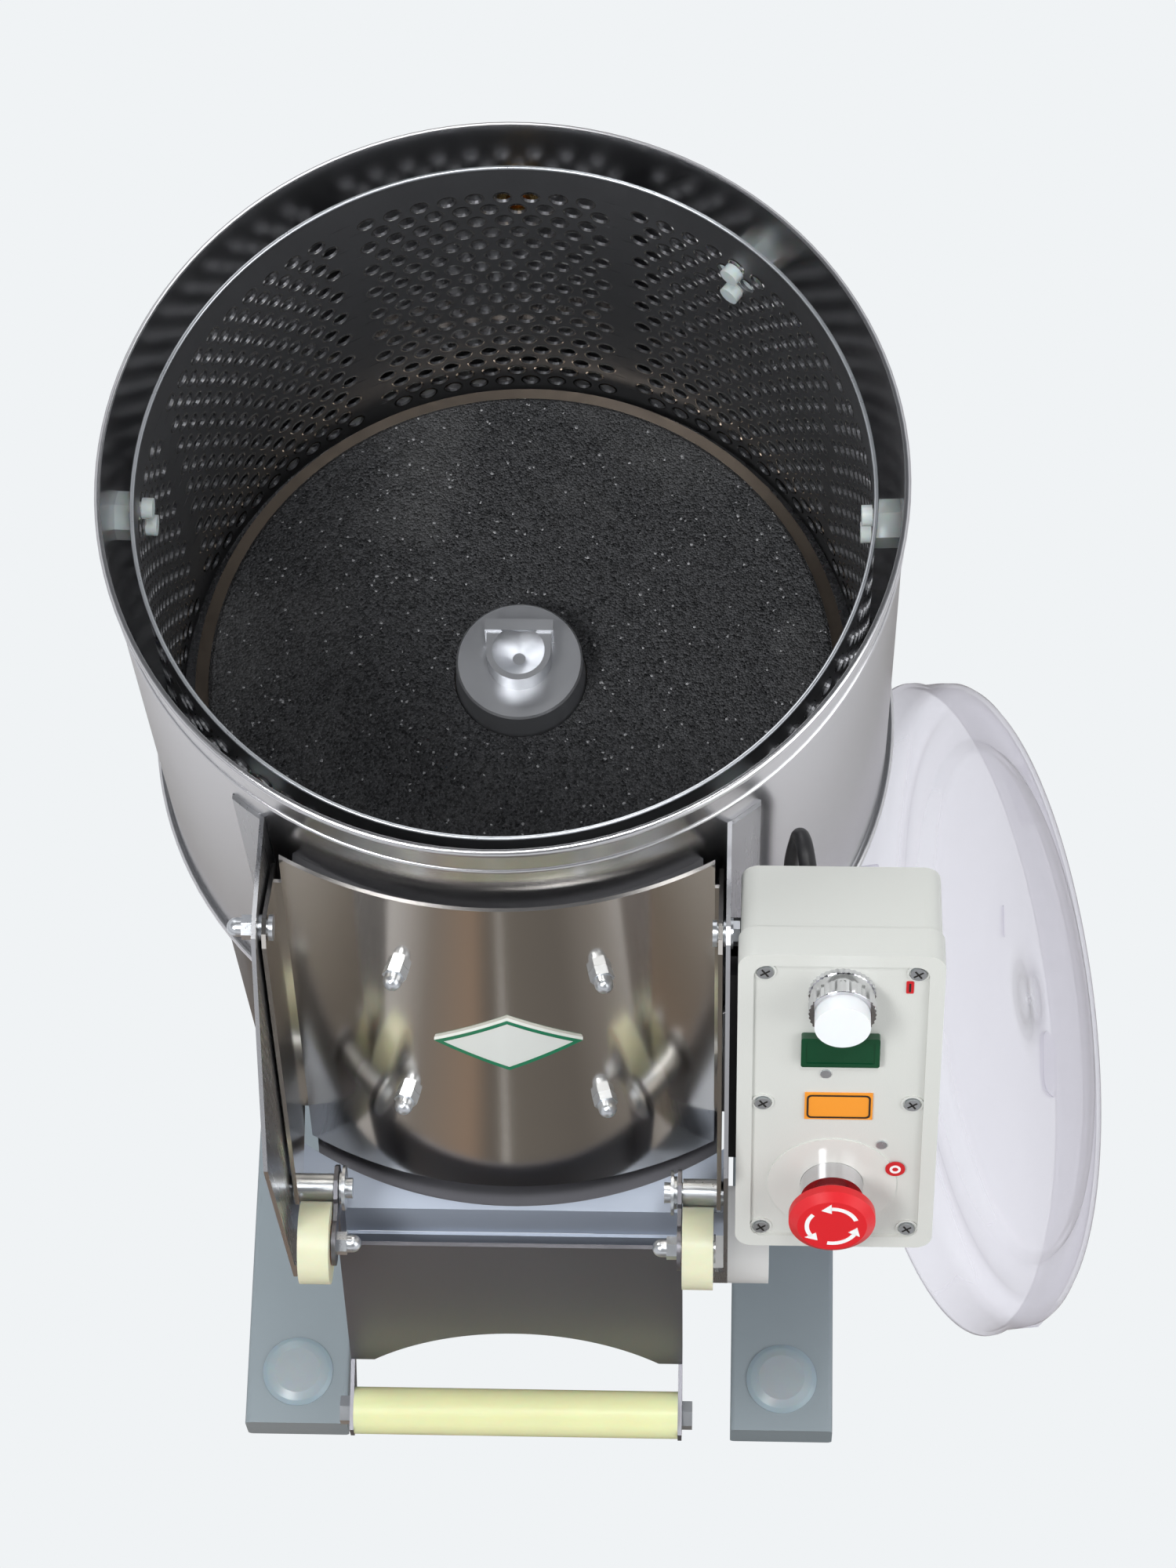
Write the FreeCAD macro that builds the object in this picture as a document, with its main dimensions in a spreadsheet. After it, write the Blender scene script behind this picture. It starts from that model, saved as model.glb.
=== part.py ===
"""Electric potato peeler with an abrasive disc, a discharge door and a lift-off lid.

Frame: millimetres, +Z up, origin on the floor under the vessel's axis, front towards -Y.
"""
import FreeCAD, Part
import math
import os
import re
import Sketcher

Vector = FreeCAD.Vector
Rotation = FreeCAD.Rotation

# Driving dimensions: name, value in millimetres or degrees, what it is.
SIZES = (
    ("rim_height", 715, "top of the vessel's rim above the floor"),
    ("shell_radius", 185, "outside of the vessel wall"),
    ("shell_wall", 1.2, "vessel sheet"),
    ("shell_base", 430, "underside of the vessel"),
    ("bead_radius", 2.5, "rolled edge at the rim and the base"),
    ("step_drop", 24, "pressed bead below the rim"),
    ("step_radius", 1.6, "pressed bead's section"),
    ("liner_radius", 172, "outside of the perforated liner"),
    ("liner_wall", 1.2, "liner sheet"),
    ("liner_drop", 17, "liner rim below the vessel rim"),
    ("liner_base", 470, "lower edge of the liner"),
    ("liner_margin", 2, "liner opening inside the neck's opening"),
    ("fixing_drop", 42, "liner fixings below the liner's rim"),
    ("fixing_spread", 9, "each button above or below the middle of its pair"),
    ("spacer_flats", 20, "liner spacer across flats"),
    ("button_radius", 5, "button head inside the liner"),
    ("button_rise", 4, "button head's height"),
    ("floor_level", 433, "underside of the waste floor"),
    ("floor_wall", 2, "waste floor sheet"),
    ("floor_turn", 12, "upturned edge of the waste floor"),
    ("floor_gap", 0.3, "waste floor edge to the vessel wall"),
    ("seat_width", 28, "ring under the waste floor"),
    ("disc_radius", 164, "abrasive disc's metal carrier"),
    ("disc_wall", 8, "carrier thickness"),
    ("disc_level", 484, "top of the carrier"),
    ("boss_wall", 16, "carrier boss round the shaft"),
    ("wiper_height", 14, "sweeping arms and boss under the carrier"),
    ("wiper_wall", 4, "sweeping arm thickness"),
    ("wiper_start", 60, "inner end of the sweeping arms"),
    ("wiper_inset", 6, "outer end of the sweeping arms inside the carrier's edge"),
    ("grit_radius", 157, "abrasive layer"),
    ("grit_wall", 5, "abrasive layer thickness"),
    ("grit_edge", 2, "slope round the abrasive layer"),
    ("hub_radius", 31.5, "hub cap on the disc"),
    ("hub_rise", 24, "hub cap height above the carrier"),
    ("hub_draft", 1.5, "how much the hub widens downwards"),
    ("eye_width", 32, "lifting eye across its flat back"),
    ("eye_rise", 13, "lifting eye above the hub"),
    ("eye_bar", 6, "flat back bar of the lifting eye"),
    ("shaft_radius", 12.5, "main shaft"),
    ("shaft_low", 168, "lower end of the main shaft"),
    ("run_gap", 0.05, "radial clearance of a running fit"),
    ("slip_gap", 0.3, "clearance round a loose piece"),
    ("bearing_radius", 26, "outside of the ball bearings"),
    ("bearing_width", 15, "ball bearing width"),
    ("barrel_radius", 34, "bearing housing outside"),
    ("barrel_length", 150, "bearing housing below the waste floor"),
    ("barrel_rise", 16, "bearing housing above the waste floor's underside"),
    ("barrel_flange", 72, "bearing housing flange radius"),
    ("flange_wall", 10, "bearing housing flange thickness"),
    ("flange_gap", 1.5, "housing top and floor seat round that flange"),
    ("seal_level", 8, "shaft seal above the waste floor's underside"),
    ("seal_width", 7, "shaft seal width"),
    ("pulley_radius", 68, "large pulley"),
    ("pulley_width", 18, "pulley width"),
    ("pulley_level", 205, "underside of both pulleys"),
    ("pulley_hole", 11, "lightening holes of the large pulley"),
    ("pulley_pitch", 38, "lightening holes from the shaft"),
    ("motor_pulley_radius", 22, "small pulley"),
    ("motor_offset", 112, "motor axis behind the vessel axis"),
    ("motor_radius", 62, "motor case"),
    ("motor_length", 120, "motor case length"),
    ("motor_shaft_radius", 7, "motor shaft"),
    ("motor_socket", 40, "depth of the shaft in the motor case"),
    ("fin_rise", 6, "cooling fins above the motor case"),
    ("fin_wall", 2, "cooling fin thickness"),
    ("fin_inset", 15, "cooling fins from the case's ends"),
    ("groove_depth", 7, "pulley groove depth"),
    ("groove_slope", 2, "slope of the groove's sides"),
    ("belt_wall", 5, "belt thickness"),
    ("belt_width", 8, "belt width"),
    ("plate_wall", 4, "motor plate"),
    ("plate_level", 190, "underside of the motor plate"),
    ("plate_inset", 20, "motor plate inside the housing"),
    ("plate_way", 8, "clearance round the shafts in the motor plate"),
    ("post_radius", 8, "posts under the motor plate"),
    ("post_inset", 20, "posts from the motor plate's edges"),
    ("house_half", 162, "half the lower housing's width"),
    ("house_front", -76, "front wall of the lower housing"),
    ("house_back", 185, "rear wall of the lower housing"),
    ("house_wall", 1.5, "housing sheet"),
    ("house_round", 14, "rounding of the housing's upright corners"),
    ("top_wall", 3, "housing top plate"),
    ("slot_length", 60, "vent slots in the housing's sides"),
    ("slot_height", 5, "vent slot height"),
    ("slot_pitch", 14, "vent slot spacing"),
    ("slot_low", 110, "lowest vent slot"),
    ("cover_half", 120, "half the rear cover's width"),
    ("cover_low", 80, "lower edge of the rear cover"),
    ("cover_height", 174, "rear cover height"),
    ("cover_lap", 12, "rear cover beyond its opening"),
    ("cover_bolt", 4, "rear cover screw heads"),
    ("beam_half", 167, "outer side of the foot beams from the middle"),
    ("beam_width", 58, "foot beam width"),
    ("beam_height", 25, "foot beam height"),
    ("beam_front", -266, "front end of the foot beams"),
    ("beam_back", 200, "rear end of the foot beams"),
    ("beam_wall", 2.5, "foot beam sheet"),
    ("beam_round", 3, "rounding of the foot beams' long edges"),
    ("foot_height", 12, "rubber foot height"),
    ("foot_radius", 19, "rubber foot"),
    ("foot_inset", 30, "foot centre from the beam's end"),
    ("plug_radius", 20, "foot plug head"),
    ("plug_rise", 4.5, "foot plug dome height"),
    ("plug_neck", 16, "foot plug neck radius"),
    ("plug_depth", 6, "foot plug neck in the beam"),
    ("base_wall", 3, "base plate"),
    ("cheek_half", 107, "outer side of the chute cheeks from the middle"),
    ("cheek_wall", 2, "cheek sheet"),
    ("cheek_top", 672, "upper rear corner of the cheeks"),
    ("cheek_peak", 684, "upper front corner of the cheeks"),
    ("cheek_knee_y", -290, "front of the cheeks below the knee"),
    ("cheek_knee_z", 577, "height of the cheeks' knee"),
    ("cheek_low", 409, "lower edge of the cheeks"),
    ("crest_run", 20, "rounded upper corner of the cheeks before the hinge axis"),
    ("crest_drop", 12, "height of that corner"),
    ("cheek_tab", 15, "rear tab of a cheek on the vessel wall"),
    ("lip_width", 18, "inward lip at the lower front of a cheek"),
    ("lip_height", 19, "height of that lip"),
    ("hinge_y", -203, "door hinge axis"),
    ("hinge_z", 665, "door hinge axis height"),
    ("hinge_bolt", 4, "hinge bolt radius"),
    ("hinge_gap", 1.5, "washer between cheek and door flange"),
    ("door_lean", 14, "lean of the door in degrees"),
    ("door_radius", 190, "outside of the door's curved panel"),
    ("door_wall", 2, "door sheet"),
    ("door_set", 11.5, "front of the panel behind the hinge axis"),
    ("door_top", 2, "top of the panel below the hinge axis"),
    ("door_length", 235, "panel length"),
    ("fold_width", 4, "panel edge to the flange's outer face"),
    ("flange_front", 11, "front edge of the door flanges before the hinge axis"),
    ("flange_lift", 7, "lower end of the flanges above the panel's lower edge"),
    ("flange_rise", 9, "top of the door flanges above the hinge axis"),
    ("flange_round", 10, "cut-off corners of the door flanges"),
    ("fold_inset", 23, "folds between panel and flanges from the panel's ends"),
    ("gasket_wall", 1.6, "door gasket"),
    ("gasket_lap", 2, "door gasket beyond the neck's outside"),
    ("gasket_width", 10, "door gasket frame"),
    ("liner_plate_wall", 2.2, "door's inner plate"),
    ("liner_plate_gap", 4, "door's inner plate inside the gasket frame"),
    ("neck_half", 94, "half the discharge neck's width"),
    ("neck_wall", 2, "neck sheet"),
    ("neck_low", 472, "underside of the discharge neck"),
    ("neck_high", 646, "top of the discharge neck"),
    ("mouth_gap", 0.4, "neck mouth to the door gasket"),
    ("nut_flats", 10, "acorn nuts across flats"),
    ("nut_rise", 5, "hexagon height of an acorn nut"),
    ("nut_shoulder", 2.5, "dome centre above the hexagon"),
    ("nut_dome", 4.4, "dome radius of an acorn nut"),
    ("nut_half", 47, "door nuts from the middle"),
    ("nut_high", 57, "upper door nuts below the hinge axis"),
    ("nut_low", 163, "lower door nuts below the hinge axis"),
    ("badge_half", 35, "half the badge's width"),
    ("badge_side", 3, "badge centre to the right of the door's middle"),
    ("badge_rise", 21, "half the badge's height"),
    ("badge_wall", 1.6, "badge thickness"),
    ("badge_drop", 109, "badge centre below the hinge axis, along the panel"),
    ("apron_y", -254, "rear edge of the chute floor in the middle"),
    ("apron_z", 413, "underside of the chute floor"),
    ("apron_wall", 2, "chute floor sheet"),
    ("apron_front", -256, "front fold of the chute floor"),
    ("apron_drop", 18, "height of the chute floor's front fold"),
    ("apron_slant", 6, "forward slant of that fold"),
    ("pivot_y", -2, "lever pivot from the hinge axis, across the panel"),
    ("pivot_z", -219, "lever pivot from the hinge axis, along the panel"),
    ("pin_radius", 5, "lever pivot pin"),
    ("bush_radius", 7, "lever pivot bush"),
    ("clip_radius", 11, "clip on the pivot pin"),
    ("clip_wall", 1.5, "clip thickness"),
    ("arm_half", 84.5, "outer side of the lever's arms from the middle"),
    ("arm_wall", 2, "lever sheet"),
    ("arm_head", 12, "rounded end of an arm"),
    ("web_top_y", -17, "upper edge of the lever's web from the pivot"),
    ("web_top_z", -32, "upper edge of the lever's web below the pivot"),
    ("web_low_y", -46, "lower edge of the lever's web from the pivot"),
    ("web_low_z", -136, "lower edge of the lever's web below the pivot"),
    ("web_arch", 26, "rise of the arch cut into the web"),
    ("web_corner", 12, "web left beside the arch"),
    ("arm_depth", 16, "arm behind the web"),
    ("grip_y", -71, "grip axis from the pivot"),
    ("grip_z", -150, "grip axis below the pivot"),
    ("grip_radius", 12, "grip tube"),
    ("grip_bolt", 4, "grip bolt and roller axle radius"),
    ("grip_head", 13, "grip bolt head across flats"),
    ("grip_head_rise", 5.3, "grip bolt head height"),
    ("roller_y", -28, "roller axle from the pivot"),
    ("roller_radius", 20, "roller"),
    ("roller_width", 15, "roller width"),
    ("roller_gap", 0.6, "washer between arm and roller"),
    ("roller_head", 0.8, "axle head outside the roller"),
    ("ear_radius", 11, "arm round the roller axle"),
    ("box_left", 111.5, "near side of the control box"),
    ("box_width", 90, "control box width"),
    ("box_length", 190, "control box length"),
    ("box_base", 40, "control box base depth"),
    ("box_lid", 18, "control box cover depth"),
    ("box_lap", 1, "cover beyond the base on each side"),
    ("box_wall", 3, "control box wall"),
    ("box_y", -172, "upper rear edge of the control box"),
    ("box_z", 670, "height of that edge"),
    ("box_lean", 24.7, "lean of the control box in degrees"),
    ("box_round", 8, "corner rounding of the control box"),
    ("panel_drop", 2, "sunk panel of the cover"),
    ("panel_edge", 6, "rim around the sunk panel"),
    ("screw_radius", 3.6, "cover screw heads"),
    ("screw_rise", 1.6, "cover screw head height"),
    ("screw_length", 8, "cover screw shank"),
    ("screw_inset", 11, "cover screws from the base's sides"),
    ("start_across", 45.5, "start button across the box"),
    ("start_down", 24, "start button below the box's upper end"),
    ("start_radius", 14.5, "start button bezel"),
    ("cap_radius", 12.5, "start button cap"),
    ("cap_rise", 22, "start button above the panel"),
    ("cap_show", 8, "start button above its bezel"),
    ("start_travel", 4, "start button travel"),
    ("lens_down", 59, "lens below the box's upper end"),
    ("lens_width", 34, "lens across the box"),
    ("lens_height", 17, "lens and label along the box"),
    ("lens_rise", 3.5, "lens above the panel"),
    ("label_down", 97, "label below the box's upper end"),
    ("label_width", 31, "label across the box"),
    ("label_rise", 0.8, "label above the panel"),
    ("stop_across", 43.5, "stop button across the box"),
    ("stop_down", 149, "stop button below the box's upper end"),
    ("stop_radius", 20, "stop button head"),
    ("stop_head", 11, "stop button head height"),
    ("stop_round", 4, "slope of the stop button's head"),
    ("stop_collar", 14.5, "stop button collar"),
    ("collar_rise", 10, "stop button collar height"),
    ("stop_rise", 27, "top of the stop button above the panel"),
    ("stop_travel", 5, "stop button travel"),
    ("stem_radius", 8, "stop button stem"),
    ("stem_depth", 14, "button stems below the panel"),
    ("block_width", 28, "contact block across the box"),
    ("block_length", 30, "contact block along the box"),
    ("bracket_length", 120, "bracket between cheek and control box"),
    ("bracket_down", 30, "bracket below the box's upper end"),
    ("bracket_depth", 12, "bracket bar depth"),
    ("cable_radius", 4, "cable from the control box to the housing"),
    ("gland_radius", 8, "cable gland"),
    ("gland_rise", 12, "cable gland outside the wall"),
    ("cable_across", 32, "cable gland across the box"),
    ("cable_down", 30, "cable gland below the box's upper end"),
    ("cable_x", 137, "cable's entry across the housing's front wall"),
    ("cable_z", 398, "height of that entry"),
    ("drain_radius", 25, "drain pipe"),
    ("drain_wall", 3, "drain pipe wall"),
    ("drain_x", 62, "drain drop across the machine"),
    ("drain_y", -138, "drain drop"),
    ("drain_front", -233, "drain outlet"),
    ("drain_z", 305, "drain outlet height"),
    ("drain_end", 128, "drain outlet's end"),
    ("inlet_radius", 10.5, "water inlet thread"),
    ("inlet_bore", 7, "water inlet bore"),
    ("inlet_z", 655, "water inlet height"),
    ("inlet_inside", 8, "water inlet inside the vessel wall"),
    ("inlet_outside", 26, "water inlet outside the vessel wall"),
    ("inlet_nut", 30, "water inlet nut across flats"),
    ("inlet_nut_rise", 8, "water inlet nut height"),
    ("lid_radius", 183, "lid"),
    ("lid_wall", 3, "lid plastic"),
    ("lid_skirt", 26, "lid skirt below its shoulder"),
    ("lid_dome", 20, "rise of the lid's middle"),
    ("lid_lean", 22, "lean of the lid against the housing in degrees"),
    ("lid_y", -58, "lid centre along the machine"),
    ("lid_gap", 0.4, "lid edge to the floor and to the housing"),
)

doc = FreeCAD.newDocument("potato_peeler")
sheet = doc.addObject("Spreadsheet::Sheet", "Sizes")
for row, (alias, value, meaning) in enumerate(SIZES, start=1):
    sheet.set("A%d" % row, alias)
    sheet.set("B%d" % row, str(value))
    sheet.set("C%d" % row, meaning)
    sheet.setAlias("B%d" % row, alias)
doc.recompute()

ALIASES = {alias for alias, value, meaning in SIZES}
TURNS = {
    "z": Rotation(),
    "x": Rotation(Vector(0, 1, 0), 90),
    "-x": Rotation(Vector(0, 1, 0), -90),
    "y": Rotation(Vector(1, 0, 0), -90),
    "-y": Rotation(Vector(1, 0, 0), 90),
}
SIDES = (("left", -1, "-x"), ("right", 1, "x"))
NODES = []


def size(alias):
    """A driving dimension as a number."""
    return float(sheet.get(alias))


def linked(text):
    """The expression with every alias pointed at the sheet."""
    return re.sub(r"[a-z][a-z_]*", lambda m: "Sizes." + m[0] if m[0] in ALIASES else m[0], str(text))


def number(text):
    """The value that an expression has now."""
    return float(sheet.evalExpression(linked(text)))


def bind(obj, prop, text):
    """Ties a property to an expression of driving dimensions."""
    obj.setExpression(prop, linked(text))


def put(obj, at=(0, 0, 0), turn=None):
    """Turns an object and ties its place to three expressions."""
    if turn is not None:
        obj.Placement = FreeCAD.Placement(Vector(), turn)
    for axis, text in zip("xyz", at):
        if str(text) != "0":
            bind(obj, "Placement.Base." + axis, text)
    return obj


def tilt(obj, axis, angle):
    """Ties an object's turn about one axis to an expression in degrees."""
    obj.Placement.Rotation = Rotation(axis, 1)
    bind(obj, "Placement.Rotation.Angle", angle)
    return obj


def node(obj, label=None):
    """Marks an object as a sub-part that is written to its own file."""
    if label is not None:
        obj.Label = label
    NODES.append(obj)
    return obj


def block(name, lengths, corner):
    """A box from its three lengths and its lowest corner."""
    obj = doc.addObject("Part::Box", name)
    for prop, text in zip(("Length", "Width", "Height"), lengths):
        bind(obj, prop, text)
    return put(obj, corner)


def rod(name, radius, length, start, along="z"):
    """A cylinder that starts at a point and runs along an axis."""
    obj = doc.addObject("Part::Cylinder", name)
    bind(obj, "Radius", radius)
    bind(obj, "Height", length)
    return put(obj, start, TURNS[along])


def taper(name, radius_low, radius_high, length, start):
    """An upright cone between two radii."""
    obj = doc.addObject("Part::Cone", name)
    bind(obj, "Radius1", radius_low)
    bind(obj, "Radius2", radius_high)
    bind(obj, "Height", length)
    return put(obj, start)


def ball(name, radius, centre):
    """A sphere about a point."""
    obj = doc.addObject("Part::Sphere", name)
    bind(obj, "Radius", radius)
    return put(obj, centre)


def ring(name, large, small, centre):
    """A flat ring with a round section."""
    obj = doc.addObject("Part::Torus", name)
    bind(obj, "Radius1", large)
    bind(obj, "Radius2", small)
    return put(obj, centre)


def hexagon(name, flats, length, start, along="z"):
    """A hexagonal bar from its size across flats."""
    obj = doc.addObject("Part::Prism", name)
    obj.Polygon = 6
    bind(obj, "Circumradius", "(%s) / 2 / cos(30deg)" % flats)
    bind(obj, "Height", length)
    return put(obj, start, TURNS[along])


def fuse(name, *shapes):
    """Shapes joined into one solid."""
    obj = doc.addObject("Part::MultiFuse", name)
    obj.Shapes = list(shapes)
    obj.Refine = True
    return obj


def common(name, *shapes):
    """What all the shapes share."""
    obj = doc.addObject("Part::MultiCommon", name)
    obj.Shapes = list(shapes)
    return obj


def cut(name, base, *tools):
    """A base less every tool."""
    tool = tools[0] if len(tools) == 1 else fuse(name + "_cutters", *tools)
    obj = doc.addObject("Part::Cut", name)
    obj.Base = base
    obj.Tool = tool
    obj.Refine = True
    return obj


def group(name, *shapes):
    """Pieces kept as separate solids of one object."""
    obj = doc.addObject("Part::Compound", name)
    obj.Links = list(shapes)
    return obj


def tube(name, outer, inner, length, start, along="z"):
    """A cylinder with a bore on its axis."""
    return cut(name, rod(name + "_outside", outer, length, start, along),
               rod(name + "_inside", inner, length, start, along))


def profile(name, plane, points):
    """A body with a closed sketch of straight edges, each corner bound to the sheet."""
    body = doc.addObject("PartDesign::Body", name)
    sketch = body.newObject("Sketcher::SketchObject", name + "_outline")
    origin = [o for o in body.Origin.OriginFeatures if o.Role == plane][0]
    sketch.AttachmentSupport = [(origin, "")]
    sketch.MapMode = "FlatFace"
    corners = [(number(a), number(b)) for a, b in points]
    count = len(corners)
    for i, corner in enumerate(corners):
        end = corners[(i + 1) % count]
        sketch.addGeometry(Part.LineSegment(Vector(*corner, 0), Vector(*end, 0)))
    for i in range(count):
        sketch.addConstraint(Sketcher.Constraint("Coincident", i, 2, (i + 1) % count, 1))
    for i, pair in enumerate(points):
        for kind, text, value in zip(("DistanceX", "DistanceY"), pair, corners[i]):
            k = sketch.addConstraint(Sketcher.Constraint(kind, -1, 1, i, 1, value))
            sketch.setExpression("Constraints[%d]" % k, linked(text))
    return body, sketch


def turned(name, points):
    """A body turned about Z from points of radius and height."""
    body, sketch = profile(name, "XZ_Plane", points)
    turn = body.newObject("PartDesign::Revolution", name + "_turn")
    turn.Profile = sketch
    turn.ReferenceAxis = (sketch, ["V_Axis"])
    turn.Angle = 360
    return body


def slab(name, plane, points, thickness, offset):
    """A body padded from a closed outline and moved along the plane's normal."""
    body, sketch = profile(name, plane, points)
    pad = body.newObject("PartDesign::Pad", name + "_pad")
    pad.Profile = sketch
    bind(pad, "Length", thickness)
    axis = {"XZ_Plane": "y", "YZ_Plane": "x"}[plane]
    bind(body, "Placement.Base." + axis, offset)
    return body


def rounded(name, base, radius, along):
    """Rounds the straight edges that run along an axis."""
    doc.recompute()
    edges = []
    for i, edge in enumerate(base.Shape.Edges, start=1):
        if abs(getattr(edge.Curve.Direction, along)) > 0.999:
            edges.append((i, radius, radius))
    obj = doc.addObject("Part::Fillet", name)
    obj.Base = base
    obj.Edges = edges
    return obj


def acorn_nut(name, at, turn):
    """An acorn nut whose seat is at the place given, standing out along the turn's Z."""
    centre = "nut_rise + nut_shoulder"
    obj = fuse(name, hexagon(name + "_hexagon", "nut_flats", "nut_rise", (0, 0, 0)),
               rod(name + "_collar", "nut_dome", centre, (0, 0, 0)),
               ball(name + "_dome", "nut_dome", (0, 0, centre)))
    return put(obj, at, turn)


def on_door(obj):
    """Moves a piece built about the hinge axis onto the leaning door."""
    return tilt(put(obj, (0, "hinge_y", "hinge_z")), Vector(1, 0, 0), "-door_lean")


def on_lever(obj):
    """Moves a piece built about the lever's pivot into place."""
    lean = "(door_lean * 1deg)"
    return put(obj, (0, "hinge_y + pivot_y * cos(%s) + pivot_z * sin(%s)" % (lean, lean),
                     "hinge_z - pivot_y * sin(%s) + pivot_z * cos(%s)" % (lean, lean)))


def on_box(obj):
    """Moves a piece built on the control box's upper rear edge, Z out of its panel, into place."""
    return tilt(put(obj, ("box_left", "box_y", "box_z")), Vector(1, 0, 0), "90 - box_lean")


def make_feet():
    """Two hollow foot beams, four rubber feet and two dome plugs near the front ends."""
    length = "beam_back - beam_front"
    plugs, feet = [], []
    for side, sign, along in SIDES:
        name = "foot_beam_" + side
        left = "-beam_half" if sign < 0 else "beam_half - beam_width"
        middle = left + " + beam_width / 2"
        outside = rounded(name + "_outside", block(name + "_block", ("beam_width", length, "beam_height"),
                          (left, "beam_front", "foot_height")), size("beam_round"), "y")
        inside = block(name + "_inside", ("beam_width - 2 * beam_wall", length + " - 2 * beam_wall",
                       "beam_height - 2 * beam_wall"),
                       (left + " + beam_wall", "beam_front + beam_wall", "foot_height + beam_wall"))
        hole = rod(name + "_hole", "plug_neck + slip_gap", "2 * beam_wall",
                   (middle, "beam_front + foot_inset", "foot_height + beam_height - 2 * beam_wall"))
        node(cut(name, outside, inside, hole))
        cap = turned("plug_cap_" + side, (
            (0, 0), ("plug_radius", 0), ("plug_radius", "plug_rise / 5"),
            ("plug_radius * 0.88", "plug_rise * 0.5"), ("plug_radius * 0.65", "plug_rise * 0.85"),
            (0, "plug_rise")))
        neck = rod("plug_neck_" + side, "plug_neck", "plug_depth", (0, 0, "-plug_depth"))
        plugs.append(put(fuse("plug_" + side, cap, neck),
                         (middle, "beam_front + foot_inset", "foot_height + beam_height")))
        for end, y in (("front", "beam_front + foot_inset"), ("back", "beam_back - foot_inset")):
            foot = turned("foot_%s_%s" % (end, side), (
                (0, 0), ("foot_radius * 0.9", 0), ("foot_radius", "foot_height / 4"),
                ("foot_radius * 0.95", "foot_height"), (0, "foot_height")))
            feet.append(put(foot, (middle, y, 0)))
    node(group("foot_plugs", *plugs))
    node(group("rubber_feet", *feet))


def make_housing():
    """The sheet box under the vessel with its base, top plate and screwed rear cover."""
    base = "foot_height + beam_height + base_wall"
    width, depth = "2 * house_half", "house_back - house_front"
    node(block("base_plate", (width, depth, "base_wall"),
               ("-house_half", "house_front", base + " - base_wall")))
    rise = "shell_base - (%s)" % base
    outside = rounded("housing_outside", block("housing_block", (width, depth, rise),
                      ("-house_half", "house_front", base)), size("house_round"), "z")
    inside = rounded("housing_inside", block("housing_hollow", (
        width + " - 2 * house_wall", depth + " - 2 * house_wall", rise + " - top_wall"),
        ("-house_half + house_wall", "house_front + house_wall", base)),
        size("house_round") - size("house_wall"), "z")
    window = block("housing_window", ("2 * (cover_half - cover_lap)", "2 * cover_lap",
                                      "cover_height - 2 * cover_lap"),
                   ("-cover_half + cover_lap", "house_back - cover_lap", "cover_low + cover_lap"))
    slots = [block("housing_slot_%d" % i, ("2 * house_half", "slot_length", "slot_height"),
                   ("-house_half", "house_back - 2 * slot_length", "slot_low + %d * slot_pitch" % i))
             for i in range(6)]
    hole = rod("housing_top_hole", "barrel_flange + flange_gap", "top_wall",
               (0, 0, "shell_base - top_wall"))
    node(cut("lower_housing", outside, inside, window, hole, *slots))
    node(block("rear_cover", ("2 * cover_half", "house_wall", "cover_height"),
               ("-cover_half", "house_back", "cover_low")))
    edge = "cover_lap / 2"
    screws = [rod("cover_bolt_%d_%d" % (sx + 1, i), "cover_bolt", "cover_bolt / 2",
                  ("%d * (cover_half - %s)" % (sx, edge), "house_back + house_wall", z), "y")
              for sx in (-1, 1)
              for i, z in enumerate(("cover_low + " + edge, "cover_low + cover_height - " + edge))]
    node(group("rear_cover_screws", *screws))


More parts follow.
